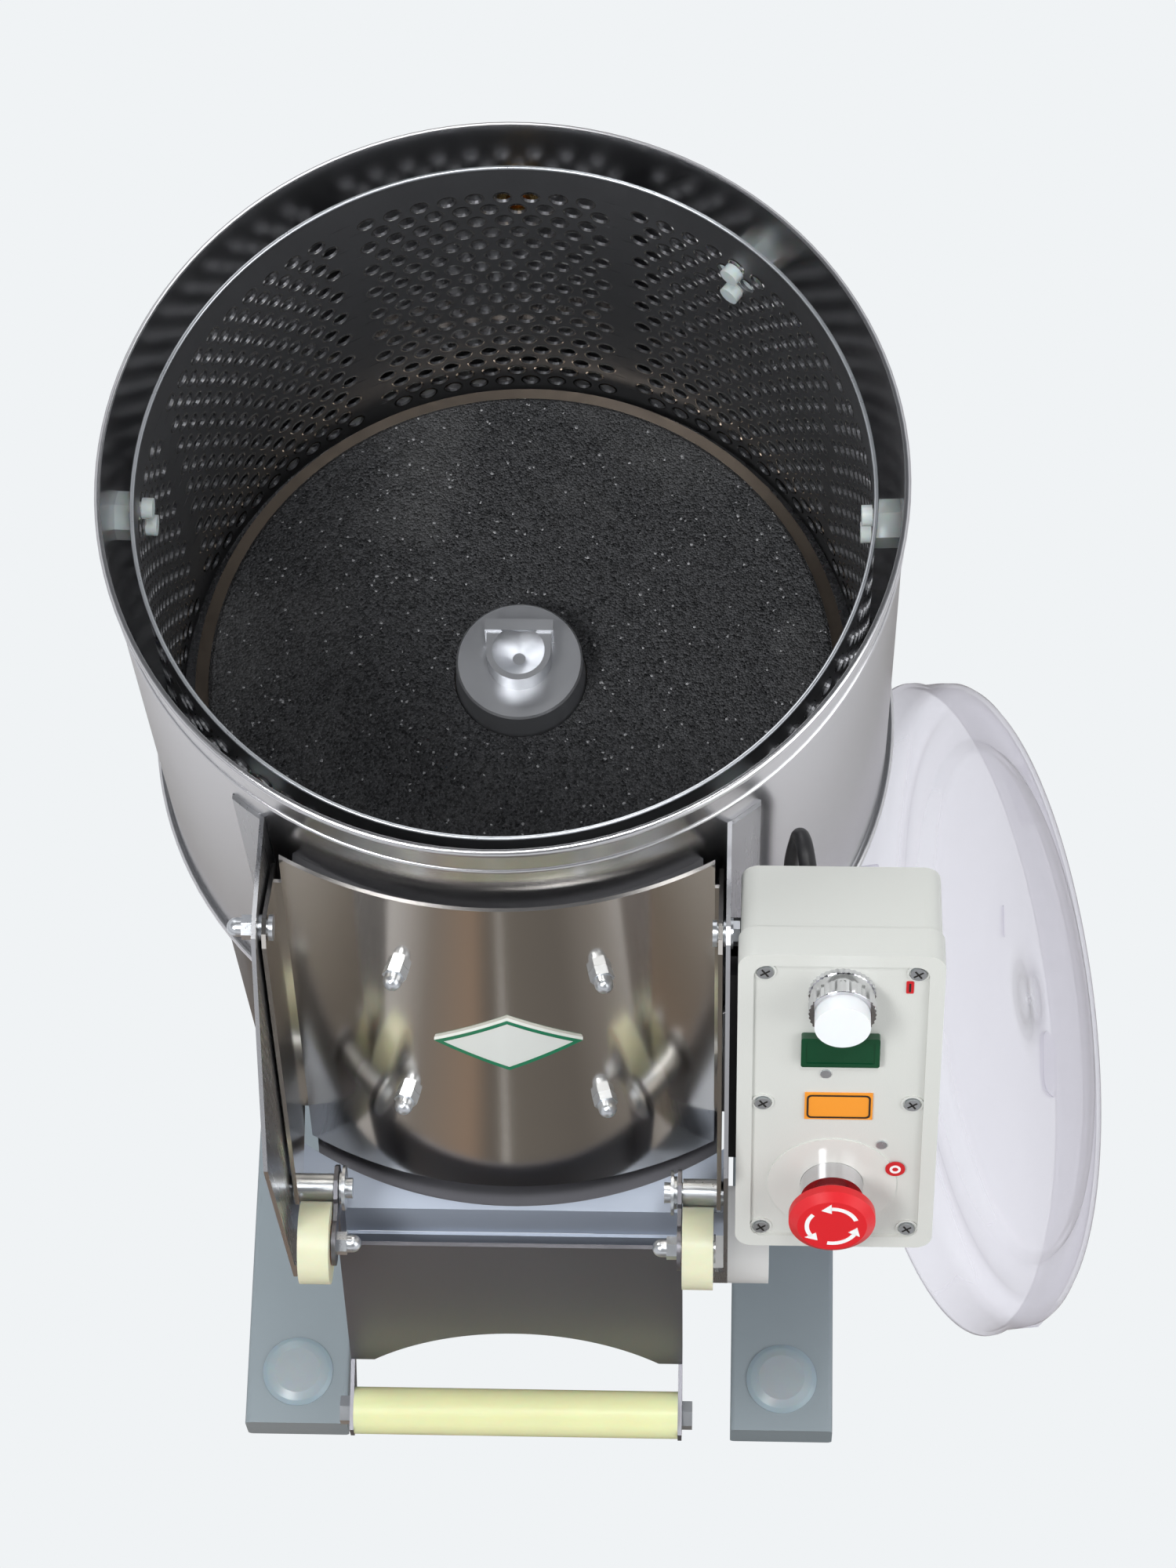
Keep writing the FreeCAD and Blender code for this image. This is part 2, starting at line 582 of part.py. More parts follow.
def make_vessel():
    """The vessel wall, its waste floor, the perforated liner and the water inlet."""
    low = "shell_base + bead_radius"
    inner = "shell_radius - shell_wall"
    wall = rod("shell_tube", "shell_radius", "rim_height - bead_radius - (%s)" % low, (0, 0, low))
    rim = ring("shell_rim", "shell_radius - shell_wall / 2", "bead_radius",
               (0, 0, "rim_height - bead_radius"))
    step = ring("shell_step", "shell_radius - shell_wall / 2", "step_radius",
                (0, 0, "rim_height - step_drop"))
    foot = ring("shell_foot", "shell_radius + shell_wall", "bead_radius", (0, 0, low))
    window = block("shell_window", ("2 * (neck_half - neck_wall)", "shell_radius",
                                    "neck_high - neck_low - 2 * neck_wall"),
                   ("-neck_half + neck_wall", "-1.5 * shell_radius", "neck_low + neck_wall"))
    node(cut("vessel_shell", fuse("shell_whole", wall, rim, step, foot), window,
             rod("shell_hollow", inner, "rim_height", (0, 0, 0)),
             rod("shell_inlet_hole", "inlet_radius + slip_gap", "2 * inlet_inside",
                 (0, "shell_radius - inlet_inside", "inlet_z"), "y")))
    edge = inner + " - floor_gap"
    floor = turned("waste_floor_sheet", (
        ("barrel_radius + slip_gap", "floor_level"), (edge, "floor_level"),
        (edge, "floor_level + floor_turn"),
        (edge + " - floor_wall", "floor_level + floor_turn"),
        (edge + " - floor_wall", "floor_level + floor_wall"),
        ("barrel_radius + slip_gap", "floor_level + floor_wall")))
    seat = tube("waste_floor_seat", "barrel_flange + flange_gap + seat_width", "barrel_flange + flange_gap",
                "floor_level - shell_base", (0, 0, "shell_base"))
    hole = rod("waste_floor_drain", "drain_radius - drain_wall", "floor_wall",
               ("drain_x", "drain_y", "floor_level"))
    node(cut("vessel_floor", fuse("waste_floor_whole", floor, seat), hole))
    liner = tube("liner_tube", "liner_radius", "liner_radius - liner_wall",
                 "rim_height - liner_drop - liner_base",
                 (0, 0, "liner_base"))
    margin = "(neck_wall + liner_margin)"
    opening = block("liner_window", ("2 * (neck_half - %s)" % margin, "liner_radius",
                    "neck_high - neck_low - 2 * " + margin),
                    ("-neck_half + " + margin, "-1.5 * liner_radius", "neck_low + " + margin))
    node(cut("perforated_liner", liner, opening))
    spacers, buttons = [], []
    for angle in (2, 52, 178, 230, 310):
        turn = Rotation(Vector(0, 0, 1), angle)
        spacers.append(put(group("spacer_%d" % angle, hexagon(
            "spacer_hexagon_%d" % angle, "spacer_flats", "shell_radius", (0, 0, 0), "x")),
            turn=turn))
        for level in (-1, 1):
            buttons.append(put(group("button_%d_%d" % (angle, level + 1), rod(
                "button_rod_%d_%d" % (angle, level + 1), "button_radius", "button_rise + liner_wall",
                ("liner_radius - 2 * liner_wall - button_rise", 0, "%d * fixing_spread" % level), "x")),
                turn=turn))
    height = "rim_height - liner_drop - fixing_drop"
    gap = tube("spacer_gap", inner, "liner_radius", "4 * spacer_flats", (0, 0, "-2 * spacer_flats"))
    within = rod("button_limit", "liner_radius - liner_wall", "4 * spacer_flats",
                 (0, 0, "-2 * spacer_flats"))
    node(put(group("liner_fixings", common("spacers_fitted", group("spacers", *spacers), gap),
                   common("buttons_fitted", group("buttons", *buttons), within)), (0, 0, height)))
    inlet = fuse("inlet_outside", rod("inlet_thread", "inlet_radius", "inlet_inside + inlet_outside",
                 (0, "shell_radius - inlet_inside", "inlet_z"), "y"),
                 hexagon("inlet_hexagon", "inlet_nut", "inlet_nut_rise", (0, "shell_radius", "inlet_z"),
                         "y"))
    node(cut("water_inlet", inlet, rod("inlet_way", "inlet_bore", "inlet_inside + inlet_outside",
                                       (0, "shell_radius - inlet_inside", "inlet_z"), "y")))


def make_spindle():
    """The abrasive disc with its hub cap and lifting eye, on the main shaft with the large pulley."""
    under = "disc_level - disc_wall"
    carrier = turned("carrier_disc", (
        ("shaft_radius", under + " - wiper_height"),
        ("shaft_radius + boss_wall", under + " - wiper_height"),
        ("shaft_radius + boss_wall", under), ("disc_radius", under),
        ("disc_radius", "disc_level"), ("shaft_radius", "disc_level")))
    arms = [put(group("wiper_%d" % angle, block("wiper_block_%d" % angle, (
        "disc_radius - wiper_inset - wiper_start", "wiper_wall", "wiper_height"),
        ("wiper_start", "-wiper_wall / 2", under + " - wiper_height"))),
        turn=Rotation(Vector(0, 0, 1), angle))
        for angle in (0, 120, 240)]
    node(fuse("abrasive_disc", carrier, *arms))
    hub_foot = "hub_radius + hub_draft"
    node(turned("abrasive_layer", (
        (hub_foot + " + slip_gap", "disc_level"), ("grit_radius", "disc_level"),
        ("grit_radius", "disc_level + grit_wall - grit_edge"),
        ("grit_radius - grit_edge", "disc_level + grit_wall"),
        (hub_foot + " + slip_gap", "disc_level + grit_wall"))))
    top = "disc_level + hub_rise"
    node(turned("hub_cap", (
        ("shaft_radius", "disc_level"), (hub_foot, "disc_level"), ("hub_radius", top + " - 1"),
        ("hub_radius - 1", top), ("shaft_radius", top))))
    eye_round = rod("eye_round", "eye_width / 2", "eye_rise", (0, 0, top))
    eye_back = block("eye_back", ("eye_width", "eye_width / 2", "eye_rise"), ("-eye_width / 2", 0, top))
    eye_bar = block("eye_back_bar", ("eye_width + 2", "eye_bar", "eye_rise + 2"),
                    ("-eye_width / 2 - 1", "eye_width / 2 - eye_bar", top))
    socket = taper("eye_socket", "eye_width / 10", "eye_width / 2 - 3", "eye_rise - 2",
                   (0, 0, top + " + 2"))
    node(cut("lifting_eye", fuse("eye_whole", eye_round, eye_back, eye_bar), socket))
    node(rod("main_shaft", "shaft_radius", top + " - shaft_low", (0, 0, "shaft_low")))
    holes = [rod("pulley_hole_%d" % angle, "pulley_hole", "pulley_width", (
        "pulley_pitch * cos(%ddeg)" % angle, "pulley_pitch * sin(%ddeg)" % angle, "pulley_level"))
        for angle in range(0, 360, 60)]
    wheel = put(grooved("large_pulley_wheel", "pulley_radius", "shaft_radius"), (0, 0, "pulley_level"))
    node(cut("large_pulley", wheel, *holes))


def grooved(name, radius, bore):
    """A pulley with one belt groove, standing on its lower face."""
    low = "(pulley_width - belt_width) / 2 - slip_gap"
    high = "(pulley_width + belt_width) / 2 + slip_gap"
    return turned(name, (
        (bore, 0), (radius, 0), (radius, low + " - groove_slope"), (radius + " - groove_depth", low),
        (radius + " - groove_depth", high), (radius, high + " + groove_slope"), (radius, "pulley_width"),
        (bore, "pulley_width")))


def make_bearings():
    """The bearing housing hung from the waste floor, with its ball bearings and seal."""
    low = "floor_level - barrel_length"
    node(turned("bearing_housing", (
        ("bearing_radius", low), ("barrel_radius", low), ("barrel_radius", "floor_level - flange_wall"),
        ("barrel_flange", "floor_level - flange_wall"), ("barrel_flange", "floor_level"),
        ("barrel_radius", "floor_level"), ("barrel_radius", "floor_level + barrel_rise"),
        ("bearing_radius", "floor_level + barrel_rise"))))
    bore = "shaft_radius + run_gap"
    node(group("ball_bearings", *[tube(name, "bearing_radius", bore, "bearing_width", (0, 0, z)) for name,
                                  z in (
        ("upper_bearing", "floor_level - bearing_width"), ("lower_bearing", low))]))
    node(tube("shaft_seal", "bearing_radius", bore, "seal_width", (0, 0, "floor_level + seal_level")))


def make_drive():
    """The motor hung under its plate, the small pulley and the belt."""
    base = "foot_height + beam_height + base_wall"
    left, front = "-house_half + plate_inset", "house_front + plate_inset"
    width, depth = "2 * (house_half - plate_inset)", "house_back - house_front - 2 * plate_inset"
    sheet_round = rounded("motor_plate_round", block("motor_plate_block", (width, depth, "plate_wall"),
                          (left, front, "plate_level")), size("post_inset"), "z")
    posts = [rod("post_%d_%d" % (sx + 1, i), "post_radius", "plate_level - (%s)" % base,
                 ("%d * (house_half - plate_inset - post_inset)" % sx, y, base))
             for sx in (-1, 1)
             for i, y in enumerate((front + " + post_inset", "house_back - plate_inset - post_inset"))]
    ways = [rod("motor_plate_way_%d" % i, radius + " + plate_way", "plate_wall", (0, y, "plate_level"))
            for i, (radius, y) in enumerate((("motor_shaft_radius", "motor_offset"),
                                             ("shaft_radius", "0")))]
    node(cut("motor_plate", fuse("motor_plate_whole", sheet_round, *posts), *ways))
    case = turned("motor_case", (
        (0, 0), ("motor_radius * 0.85", 0), ("motor_radius", "motor_radius * 0.12"),
        ("motor_radius", "motor_length - motor_radius * 0.1"), ("motor_radius * 0.9", "motor_length"),
        (0, "motor_length")))
    fins = [put(group("fin_%d" % angle, block("fin_block_%d" % angle, (
        "motor_radius + fin_rise", "fin_wall", "motor_length - 2 * fin_inset"),
        (0, "-fin_wall / 2", "fin_inset"))),
        turn=Rotation(Vector(0, 0, 1), angle)) for angle in range(0, 360, 15)]
    socket = rod("motor_bore", "motor_shaft_radius + run_gap", "motor_socket",
                 (0, 0, "motor_length - motor_socket"))
    node(put(cut("motor_body", fuse("motor_whole", case, *fins), socket),
             (0, "motor_offset", "plate_level - motor_length")))
    low = "plate_level - motor_socket + plate_wall / 2"
    node(rod("motor_shaft", "motor_shaft_radius", "pulley_level + pulley_width - (%s)" % low,
             (0, "motor_offset", low)))
    node(put(grooved("small_pulley", "motor_pulley_radius", "motor_shaft_radius"),
             (0, "motor_offset", "pulley_level")))
    make_belt()


def make_belt():
    """A closed band round both pulleys: two arcs joined by their outer tangents."""
    large = size("pulley_radius") - size("groove_depth") + size("slip_gap")
    small = size("motor_pulley_radius") - size("groove_depth") + size("slip_gap")
    span = size("motor_offset")
    lean = math.asin((large - small) / span)

    def loop(extra):
        a, b = large + extra, small + extra
        c, s = math.cos(lean), math.sin(lean)
        right_a, right_b = Vector(a * c, a * s, 0), Vector(b * c, span + b * s, 0)
        left_a, left_b = Vector(-a * c, a * s, 0), Vector(-b * c, span + b * s, 0)
        return Part.Face(Part.Wire([
            Part.LineSegment(right_a, right_b).toShape(),
            Part.Arc(right_b, Vector(0, span + b, 0), left_b).toShape(),
            Part.LineSegment(left_b, left_a).toShape(),
            Part.Arc(left_a, Vector(0, -a, 0), right_a).toShape()]))

    belt = doc.addObject("Part::Feature", "drive_belt")
    belt.Shape = loop(size("belt_wall")).cut(loop(0)).extrude(Vector(0, 0, size("belt_width")))
    belt.Placement.Base = Vector(0, 0, size("pulley_level") + (size("pulley_width") - size("belt_width")) / 2)
    node(belt)


def make_cheeks():
    """The two side plates of the chute, the door's hinge bolts and the chute floor."""
    wall_y = "-sqrt(shell_radius * shell_radius - cheek_half * cheek_half)"
    outline = ((wall_y, "cheek_top"), (wall_y, "shell_base + bead_radius * 2"),
               ("apron_y + lip_height * 2", "cheek_low"),
               ("cheek_knee_y", "cheek_low"), ("cheek_knee_y", "cheek_knee_z"),
               ("hinge_y - crest_run", "cheek_peak - crest_drop"),
               ("hinge_y - crest_run * 0.6", "cheek_peak - crest_drop / 6"),
               ("hinge_y - crest_run / 5", "cheek_peak"))
    inside = "cheek_half - cheek_wall"
    for side, sign, along in SIDES:
        name = "chute_cheek_" + side
        plate = slab(name + "_plate", "YZ_Plane", outline, "cheek_wall",
                     "-cheek_half" if sign < 0 else inside)
        lip = block(name + "_lip", ("lip_width", "cheek_wall", "lip_height"),
                    ("-cheek_half" if sign < 0 else "cheek_half - lip_width", "cheek_knee_y", "cheek_low"))
        band = tube(name + "_tab_band", "shell_radius + cheek_wall", "shell_radius", "rim_height",
                    (0, 0, 0))
        limit = block(name + "_tab_limit", ("cheek_tab", "cheek_half",
                                            "cheek_top - shell_base - 3 * bead_radius"),
                      ("-cheek_half - cheek_tab + cheek_wall" if sign < 0 else inside,
                       wall_y + " - cheek_wall * 3", "shell_base + 3 * bead_radius"))
        hole = rod(name + "_hole", "hinge_bolt + run_gap", "3 * cheek_wall",
                   ("%d * (%s - cheek_wall)" % (sign, inside), "hinge_y", "hinge_z"), along)
        node(cut(name, fuse(name + "_whole", plate, lip, common(name + "_tab", band, limit)), hole,
                 rod(name + "_clear", "shell_radius", "rim_height", (0, 0, 0))))
    make_hinge_bolts()
    low = ("apron_front - apron_slant", "apron_z + apron_wall - apron_drop")
    sheet_body = slab("apron_sheet", "YZ_Plane", (
        ("apron_y + lip_height * 2", "apron_z + apron_wall"), ("apron_front", "apron_z + apron_wall"), low,
        (low[0] + " + apron_wall", low[1]), ("apron_front + apron_wall", "apron_z"),
        ("apron_y + lip_height * 2", "apron_z")), "2 * (%s)" % inside, "-cheek_half + cheek_wall")
    arc = rod("apron_arc", "door_radius", "2 * apron_drop",
              (0, "apron_y + door_radius", "apron_z - apron_drop"))
    node(cut("chute_floor", sheet_body, arc))


def make_hinge_bolts():
    """Each hinge bolt has a low head, a spacer, a washer and a nut, low where the control box is near."""
    washer_wall = "hinge_gap * 0.8"
    bolts = []
    for side, sign, along in SIDES:
        tag = "hinge_bolt_" + side
        start = "(cheek_half - cheek_wall - hinge_gap - 2 * door_wall - roller_gap)"
        place = ("%d * %s" % (sign, start), "hinge_y", "hinge_z")
        shank = rod(tag + "_shank", "hinge_bolt", "cheek_half + 2 * %s - %s" % (washer_wall, start), place,
                    along)
        head = rod(tag + "_head", "hinge_bolt * 1.5", "door_wall", place, along)
        spacer = rod(tag + "_spacer", "hinge_bolt * 1.5", "hinge_gap - slip_gap",
                     ("%d * (cheek_half - cheek_wall - hinge_gap + slip_gap)" % sign, "hinge_y", "hinge_z"),
                     along)
        washer = rod(tag + "_washer", "hinge_bolt * 1.75", washer_wall,
                     ("%d * cheek_half" % sign, "hinge_y", "hinge_z"), along)
        seat = ("%d * (cheek_half + %s)" % (sign, washer_wall), "hinge_y", "hinge_z")
        if sign < 0:
            nut = acorn_nut(tag + "_nut", seat, TURNS[along])
        else:
            nut = hexagon(tag + "_nut", "nut_flats", "box_left - cheek_half - %s - slip_gap" % washer_wall,
                          seat, along)
        bolts.append(fuse(tag, shank, head, spacer, washer, nut))
    node(group("hinge_bolts", *bolts))


def make_neck():
    """The square discharge neck from the vessel to the leaning door's curved face."""
    reach, length = "-2 * shell_radius", "1.5 * shell_radius"
    duct = cut("neck_duct", block("neck_outside", ("2 * neck_half", length, "neck_high - neck_low"),
               ("-neck_half", reach, "neck_low")),
               block("neck_inside", ("2 * (neck_half - neck_wall)", length,
                                     "neck_high - neck_low - 2 * neck_wall"),
                     ("-neck_half + neck_wall", reach, "neck_low + neck_wall")))
    face = rod("neck_face", "door_radius - door_wall - gasket_wall - mouth_gap", "2 * door_length",
               (0, "door_set + door_radius", "-1.5 * door_length"))
    node(cut("discharge_neck", common("neck_within", duct, on_door(group("neck_limit", face))),
             rod("neck_vessel", "shell_radius", "rim_height", (0, 0, 0))))


def door_band(name, outer, inner, half, high, low):
    """A curved plate between two radii about the panel's axis and two depths below the hinge."""
    band = tube(name + "_band", outer, inner, "2 * door_length",
                (0, "door_set + door_radius", "-1.5 * door_length"))
    return common(name, band, block(name + "_limit",
                                    ("2 * (%s)" % half, "door_radius", "(%s) - (%s)" % (low, high)),
                                    ("-(%s)" % half, "door_set - badge_wall", "-(%s)" % low)))


def make_door():
    """The curved door panel with its side flanges, gasket, inner plate, nuts and badge."""
    half = "(cheek_half - cheek_wall - hinge_gap)"
    edge = "(%s - fold_width)" % half
    low = "door_top + door_length"
    panel = door_band("panel", "door_radius", "door_radius - door_wall", edge, "door_top", low)
    side_y = "(door_set + door_radius - sqrt(door_radius * door_radius - %s * %s))" % (edge, edge)
    back = side_y + " + 2 * door_wall"
    end = "-(%s - flange_lift)" % low
    outline = ((back, "-flange_front"), ("-flange_front + flange_round", "flange_rise"),
               ("-flange_front + flange_round * 0.3", "flange_rise - flange_round * 0.3"),
               ("-flange_front", "flange_rise - flange_round"), ("-flange_front", end + " + flange_round"),
               ("-flange_front + flange_round / 2", end), ("-flange_front + 2 * flange_round", end),
               (back, end + " + 2 * flange_round"))
    pieces = [panel]
    for side, sign, along in SIDES:
        name = "door_flange_" + side
        inner = "-" + half if sign < 0 else half + " - door_wall"
        pieces.append(slab(name, "YZ_Plane", outline, "door_wall", inner))
        pieces.append(block(name + "_fold", (
            "fold_width + door_wall / 2", "door_wall", "door_length - 2 * fold_inset"),
            ("-" + half if sign < 0 else edge + " - door_wall / 2", side_y,
             "-(%s) + fold_inset + fold_width" % low)))
    holes = [rod("door_hinge_hole", "hinge_bolt + run_gap", "2 * cheek_half", ("-cheek_half", 0, 0), "x"),
             rod("door_pivot_hole", "pin_radius", "2 * cheek_half", ("-cheek_half", "pivot_y", "pivot_z"),
                 "x")]
    node(on_door(cut("door_panel", fuse("door_whole", *pieces), *holes)))
    make_door_seal()
    seat = "door_set + door_radius - sqrt(door_radius * door_radius - nut_half * nut_half)"
    nuts = []
    for side, sign, along in SIDES:
        turn = Rotation(Vector(0, 0, 1), sign * math.degrees(math.asin(size("nut_half") / size("door_radius"))))
        for drop in ("nut_high", "nut_low"):
            nuts.append(acorn_nut("door_%s_%s" % (drop, side), ("%d * nut_half" % sign, seat, "-" + drop),
                                  turn * TURNS["-y"]))
    node(on_door(group("door_nuts", *nuts)))
    badge = slab("badge_outline", "XZ_Plane", (
        ("badge_side - badge_half", "-badge_drop"), ("badge_side", "-badge_drop - badge_rise"),
        ("badge_side + badge_half", "-badge_drop"), ("badge_side", "-badge_drop + badge_rise")),
        "door_set + door_radius", "door_set + door_radius")
    band = tube("badge_band", "door_radius + badge_wall", "door_radius", "door_length",
                (0, "door_set + door_radius", "-door_length"))
    node(on_door(common("badge_plate", band, badge)))
    make_pivot_pins(half)


def make_door_seal():
    """The gasket frame that meets the neck's mouth, and the plate inside it."""
    outer = "door_radius - door_wall"
    high, low = "hinge_z - neck_high - 2 * gasket_lap", "hinge_z - neck_low + gasket_lap * 2"
    frame = door_band("gasket_frame", outer, outer + " - gasket_wall", "neck_half + gasket_lap", high, low)
    window = block("gasket_window", ("2 * (neck_half + gasket_lap - gasket_width)", "door_radius",
                   "%s - (%s) - 2 * gasket_width" % (low, high)),
                   ("-(neck_half + gasket_lap - gasket_width)", 0, "-(%s) + gasket_width" % low))
    node(on_door(cut("door_gasket", frame, window)))
    inset = "gasket_width + liner_plate_gap"
    node(on_door(door_band("door_inner_plate", outer, outer + " - liner_plate_wall",
                           "neck_half + gasket_lap - (%s)" % inset, "%s + %s" % (high, inset),
                           "%s - (%s)" % (low, inset))))


def make_pivot_pins(half):
    """The lever's pivot pins, each with a head, a bush, a washer and a clip."""
    flange = "(%s - door_wall)" % half
    arm = "(arm_half - arm_wall)"
    pins = []
    for side, sign, outward in SIDES:
        inward = "x" if sign < 0 else "-x"
        tag = "pivot_pin_" + side
        shank = rod(tag + "_shank", "pin_radius", "%s - %s + 4 * clip_wall + roller_gap" % (half, arm),
                    ("%d * %s" % (sign, half), 0, 0), inward)
        head = rod(tag + "_head", "bush_radius - 1", "hinge_gap - slip_gap",
                   ("%d * %s" % (sign, half), 0, 0), outward)
        bush = rod(tag + "_bush", "bush_radius", "%s - arm_half - roller_gap" % flange,
                   ("%d * %s" % (sign, flange), 0, 0), inward)
        washer = rod(tag + "_washer", "bush_radius + 1", "clip_wall",
                     ("%d * (%s - slip_gap)" % (sign, arm), 0, 0), inward)
        clip = rod(tag + "_clip", "clip_radius", "clip_wall",
                   ("%d * (%s - slip_gap - clip_wall)" % (sign, arm), 0, 0), inward)
        collar = cut(tag + "_collar", fuse(tag + "_clipped", washer, clip), shank)
        pins.append(put(group(tag + "_set", fuse(tag, shank, head, bush), collar),
                        (0, "pivot_y", "pivot_z")))
    node(on_door(group("pivot_pins", *pins)))


def make_lever():
    """The hanging lever: two arms bent from one arched web, with a grip and two rollers."""
    inner = "(arm_half - arm_wall)"
    foot = "grip_y - grip_radius"
    arm = (("web_top_y - arm_wall", "web_top_z"), ("-arm_head * 0.9", "-arm_head * 0.45"), ("-arm_head", 0),
           ("-arm_head * 0.7", "arm_head * 0.7"), (0, "arm_head"), ("arm_head * 0.7", "arm_head * 0.7"),
           ("arm_head", 0), ("arm_head * 0.9", "-arm_head * 0.6"),
           ("web_top_y + arm_depth", "web_top_z - arm_depth / 2"),
           ("web_low_y + arm_depth / 2", "web_low_z"),
           ("grip_y + grip_radius * 0.7", "grip_z - grip_radius"),
           ("grip_y - grip_radius * 0.5", "grip_z - grip_radius"), (foot, "grip_z - grip_radius * 0.4"),
           (foot, "grip_z + grip_radius * 0.5"), ("web_low_y - arm_wall", "web_low_z"))
    web = slab("web", "YZ_Plane", (("web_top_y", "web_top_z"), ("web_top_y - arm_wall", "web_top_z"),
               ("web_low_y - arm_wall", "web_low_z"), ("web_low_y", "web_low_z")), "2 * " + inner,
               "-" + inner)
    span = "(arm_half - web_corner)"
    radius = "((%s * %s + web_arch * web_arch) / 2 / web_arch)" % (span, span)
    arch = rod("web_arch_cut", radius, "4 * arm_depth", (0, "web_low_y + 2 * arm_depth",
               "web_low_z + web_arch - %s" % radius), "-y")
    pieces = [cut("web_arched", web, arch)]
    for side, x in (("left", "-arm_half"), ("right", inner)):
        pieces.append(slab("arm_" + side, "YZ_Plane", arm, "arm_wall", x))
        pieces.append(rod("ear_" + side, "ear_radius", "arm_wall", (x, "roller_y", 0), "x"))
        pieces.append(block("ear_link_" + side, ("arm_wall", "-roller_y", "ear_radius"),
                            (x, "roller_y", "-ear_radius / 2")))
    holes = [rod("lever_hole_%d" % i, radius, "2 * arm_half", ("-arm_half", y, z), "x")
             for i, (radius, y, z) in enumerate((("pin_radius + run_gap", "0", "0"),
                                                 ("grip_bolt", "grip_y", "grip_z"),
                                                 ("grip_bolt", "roller_y", "0")))]
    node(on_lever(cut("lever_frame", fuse("lever_whole", *pieces), *holes)))
    node(on_lever(tube("grip_tube", "grip_radius", "grip_bolt", "2 * " + inner,
                       ("-" + inner, "grip_y", "grip_z"), "x")))
    bolt = rod("grip_rod", "grip_bolt", "2 * arm_half", ("-arm_half", "grip_y", "grip_z"), "x")
    heads = [hexagon("grip_head_" + side, "grip_head", "grip_head_rise",
                     ("%d * arm_half" % sign, "grip_y", "grip_z"), along) for side, sign, along in SIDES]
    node(on_lever(fuse("grip_bolt_whole", bolt, *heads)), "grip_bolt")
    axles = []
    for side, sign, along in SIDES:
        tag = "roller_axle_" + side
        start = ("%d * %s" % (sign, inner), "roller_y", 0)
        shank = rod(tag + "_shank", "grip_bolt", "arm_wall + roller_gap + roller_width + roller_head",
                    start, along)
        washer = rod(tag + "_washer", "ear_radius - grip_bolt", "roller_gap - slip_gap",
                     ("%d * arm_half" % sign, "roller_y", 0), along)
        head = rod(tag + "_head", "ear_radius - grip_bolt", "roller_head",
                   ("%d * (arm_half + roller_gap + roller_width + slip_gap)" % sign, "roller_y", 0), along)
        nut = acorn_nut(tag + "_nut", start, TURNS["x" if sign < 0 else "-x"])
        axles.append(fuse(tag, shank, washer, head, nut))
        wheel = tube("roller_wheel_" + side, "roller_radius", "grip_bolt + run_gap", "roller_width",
                     ("%d * (arm_half + roller_gap)" % sign, "roller_y", 0), along)
        node(on_lever(wheel), "roller_" + side)
    node(on_lever(group("roller_axles", *axles)))


PANEL = "(box_base + box_lid - panel_drop)"
START = ("start_across", "-start_down", PANEL)
STOP = ("stop_across", "-stop_down", PANEL)


def make_box():
    """The control box is built with X across, Y up the panel and Z out of the panel."""
    inner = ("box_width - 2 * box_wall", "box_length - 2 * box_wall")
    outside = rounded("box_outside", block("box_block", ("box_width", "box_length", "box_base"),
                      (0, "-box_length", 0)), size("box_round"), "z")
    node(on_box(cut("control_box_base", outside, block("box_inside", (*inner, "box_base"),
                                                       ("box_wall", "-box_length + box_wall",
                                                        "box_wall")))))
    shell = rounded("cover_outside", block("cover_block",
                                           ("box_width + 2 * box_lap", "box_length + 2 * box_lap",
                    "box_lid"), ("-box_lap", "-box_length - box_lap", "box_base")), size("box_round"), "z")
    hollow = block("cover_inside", (*inner, "box_lid - box_wall - panel_drop"),
                   ("box_wall", "-box_length + box_wall", "box_base"))
    sunk = rounded("cover_sunk", block("cover_sunk_block", ("box_width - 2 * panel_edge",
                   "box_length - 2 * panel_edge", "panel_drop"),
                   ("panel_edge", "-box_length + panel_edge", PANEL)),
                   size("panel_edge"), "z")
    below = PANEL + " - box_wall"
    ways = [rod("start_way", "cap_radius + slip_gap", "box_wall", (*START[:2], below)),
            rod("stop_way", "stem_radius + slip_gap", "box_wall", (*STOP[:2], below))]
    places = [(x, y) for x in ("screw_inset", "box_width - screw_inset")
              for y in ("-screw_inset", "-box_length / 2", "-box_length + screw_inset")]
    screws = []
    for i, (x, y) in enumerate(places):
        ways.append(rod("screw_way_%d" % i, "screw_radius / 2 + run_gap", "box_wall", (x, y, below)))
        screws.append(fuse("box_screw_%d" % i,
                           rod("screw_head_%d" % i, "screw_radius", "screw_rise", (x, y, PANEL)),
                           rod("screw_shank_%d" % i, "screw_radius / 2", "screw_length",
                               (x, y, PANEL + " - screw_length"))))
    for i, (x, y) in enumerate((("start_across - cap_radius / 2", "-lens_down - lens_height"),
                                ("start_across + start_radius * 1.4", "-label_down - 1.5 * lens_height"))):
        screws.append(rod("panel_screw_%d" % i, "screw_radius * 0.7", "screw_rise / 2", (x, y, PANEL)))
    node(on_box(cut("control_box_cover", shell, hollow, sunk, *ways)))
    node(on_box(group("box_screws", *screws)))
    node(on_box(group("green_lens", block("lens_block", ("lens_width", "lens_height", "lens_rise"),
                      ("start_across - lens_width / 2", "-lens_down - lens_height / 2", PANEL)))))
    bracket = [block("bracket_bar_%d" % i, ("box_left - cheek_half", "bracket_length", "bracket_depth"),
                     ("cheek_half - box_left", "-bracket_down - bracket_length", z))
               for i, z in enumerate(("box_wall", "box_base - bracket_depth"))]
    node(on_box(group("box_bracket", *bracket)))
    make_buttons()


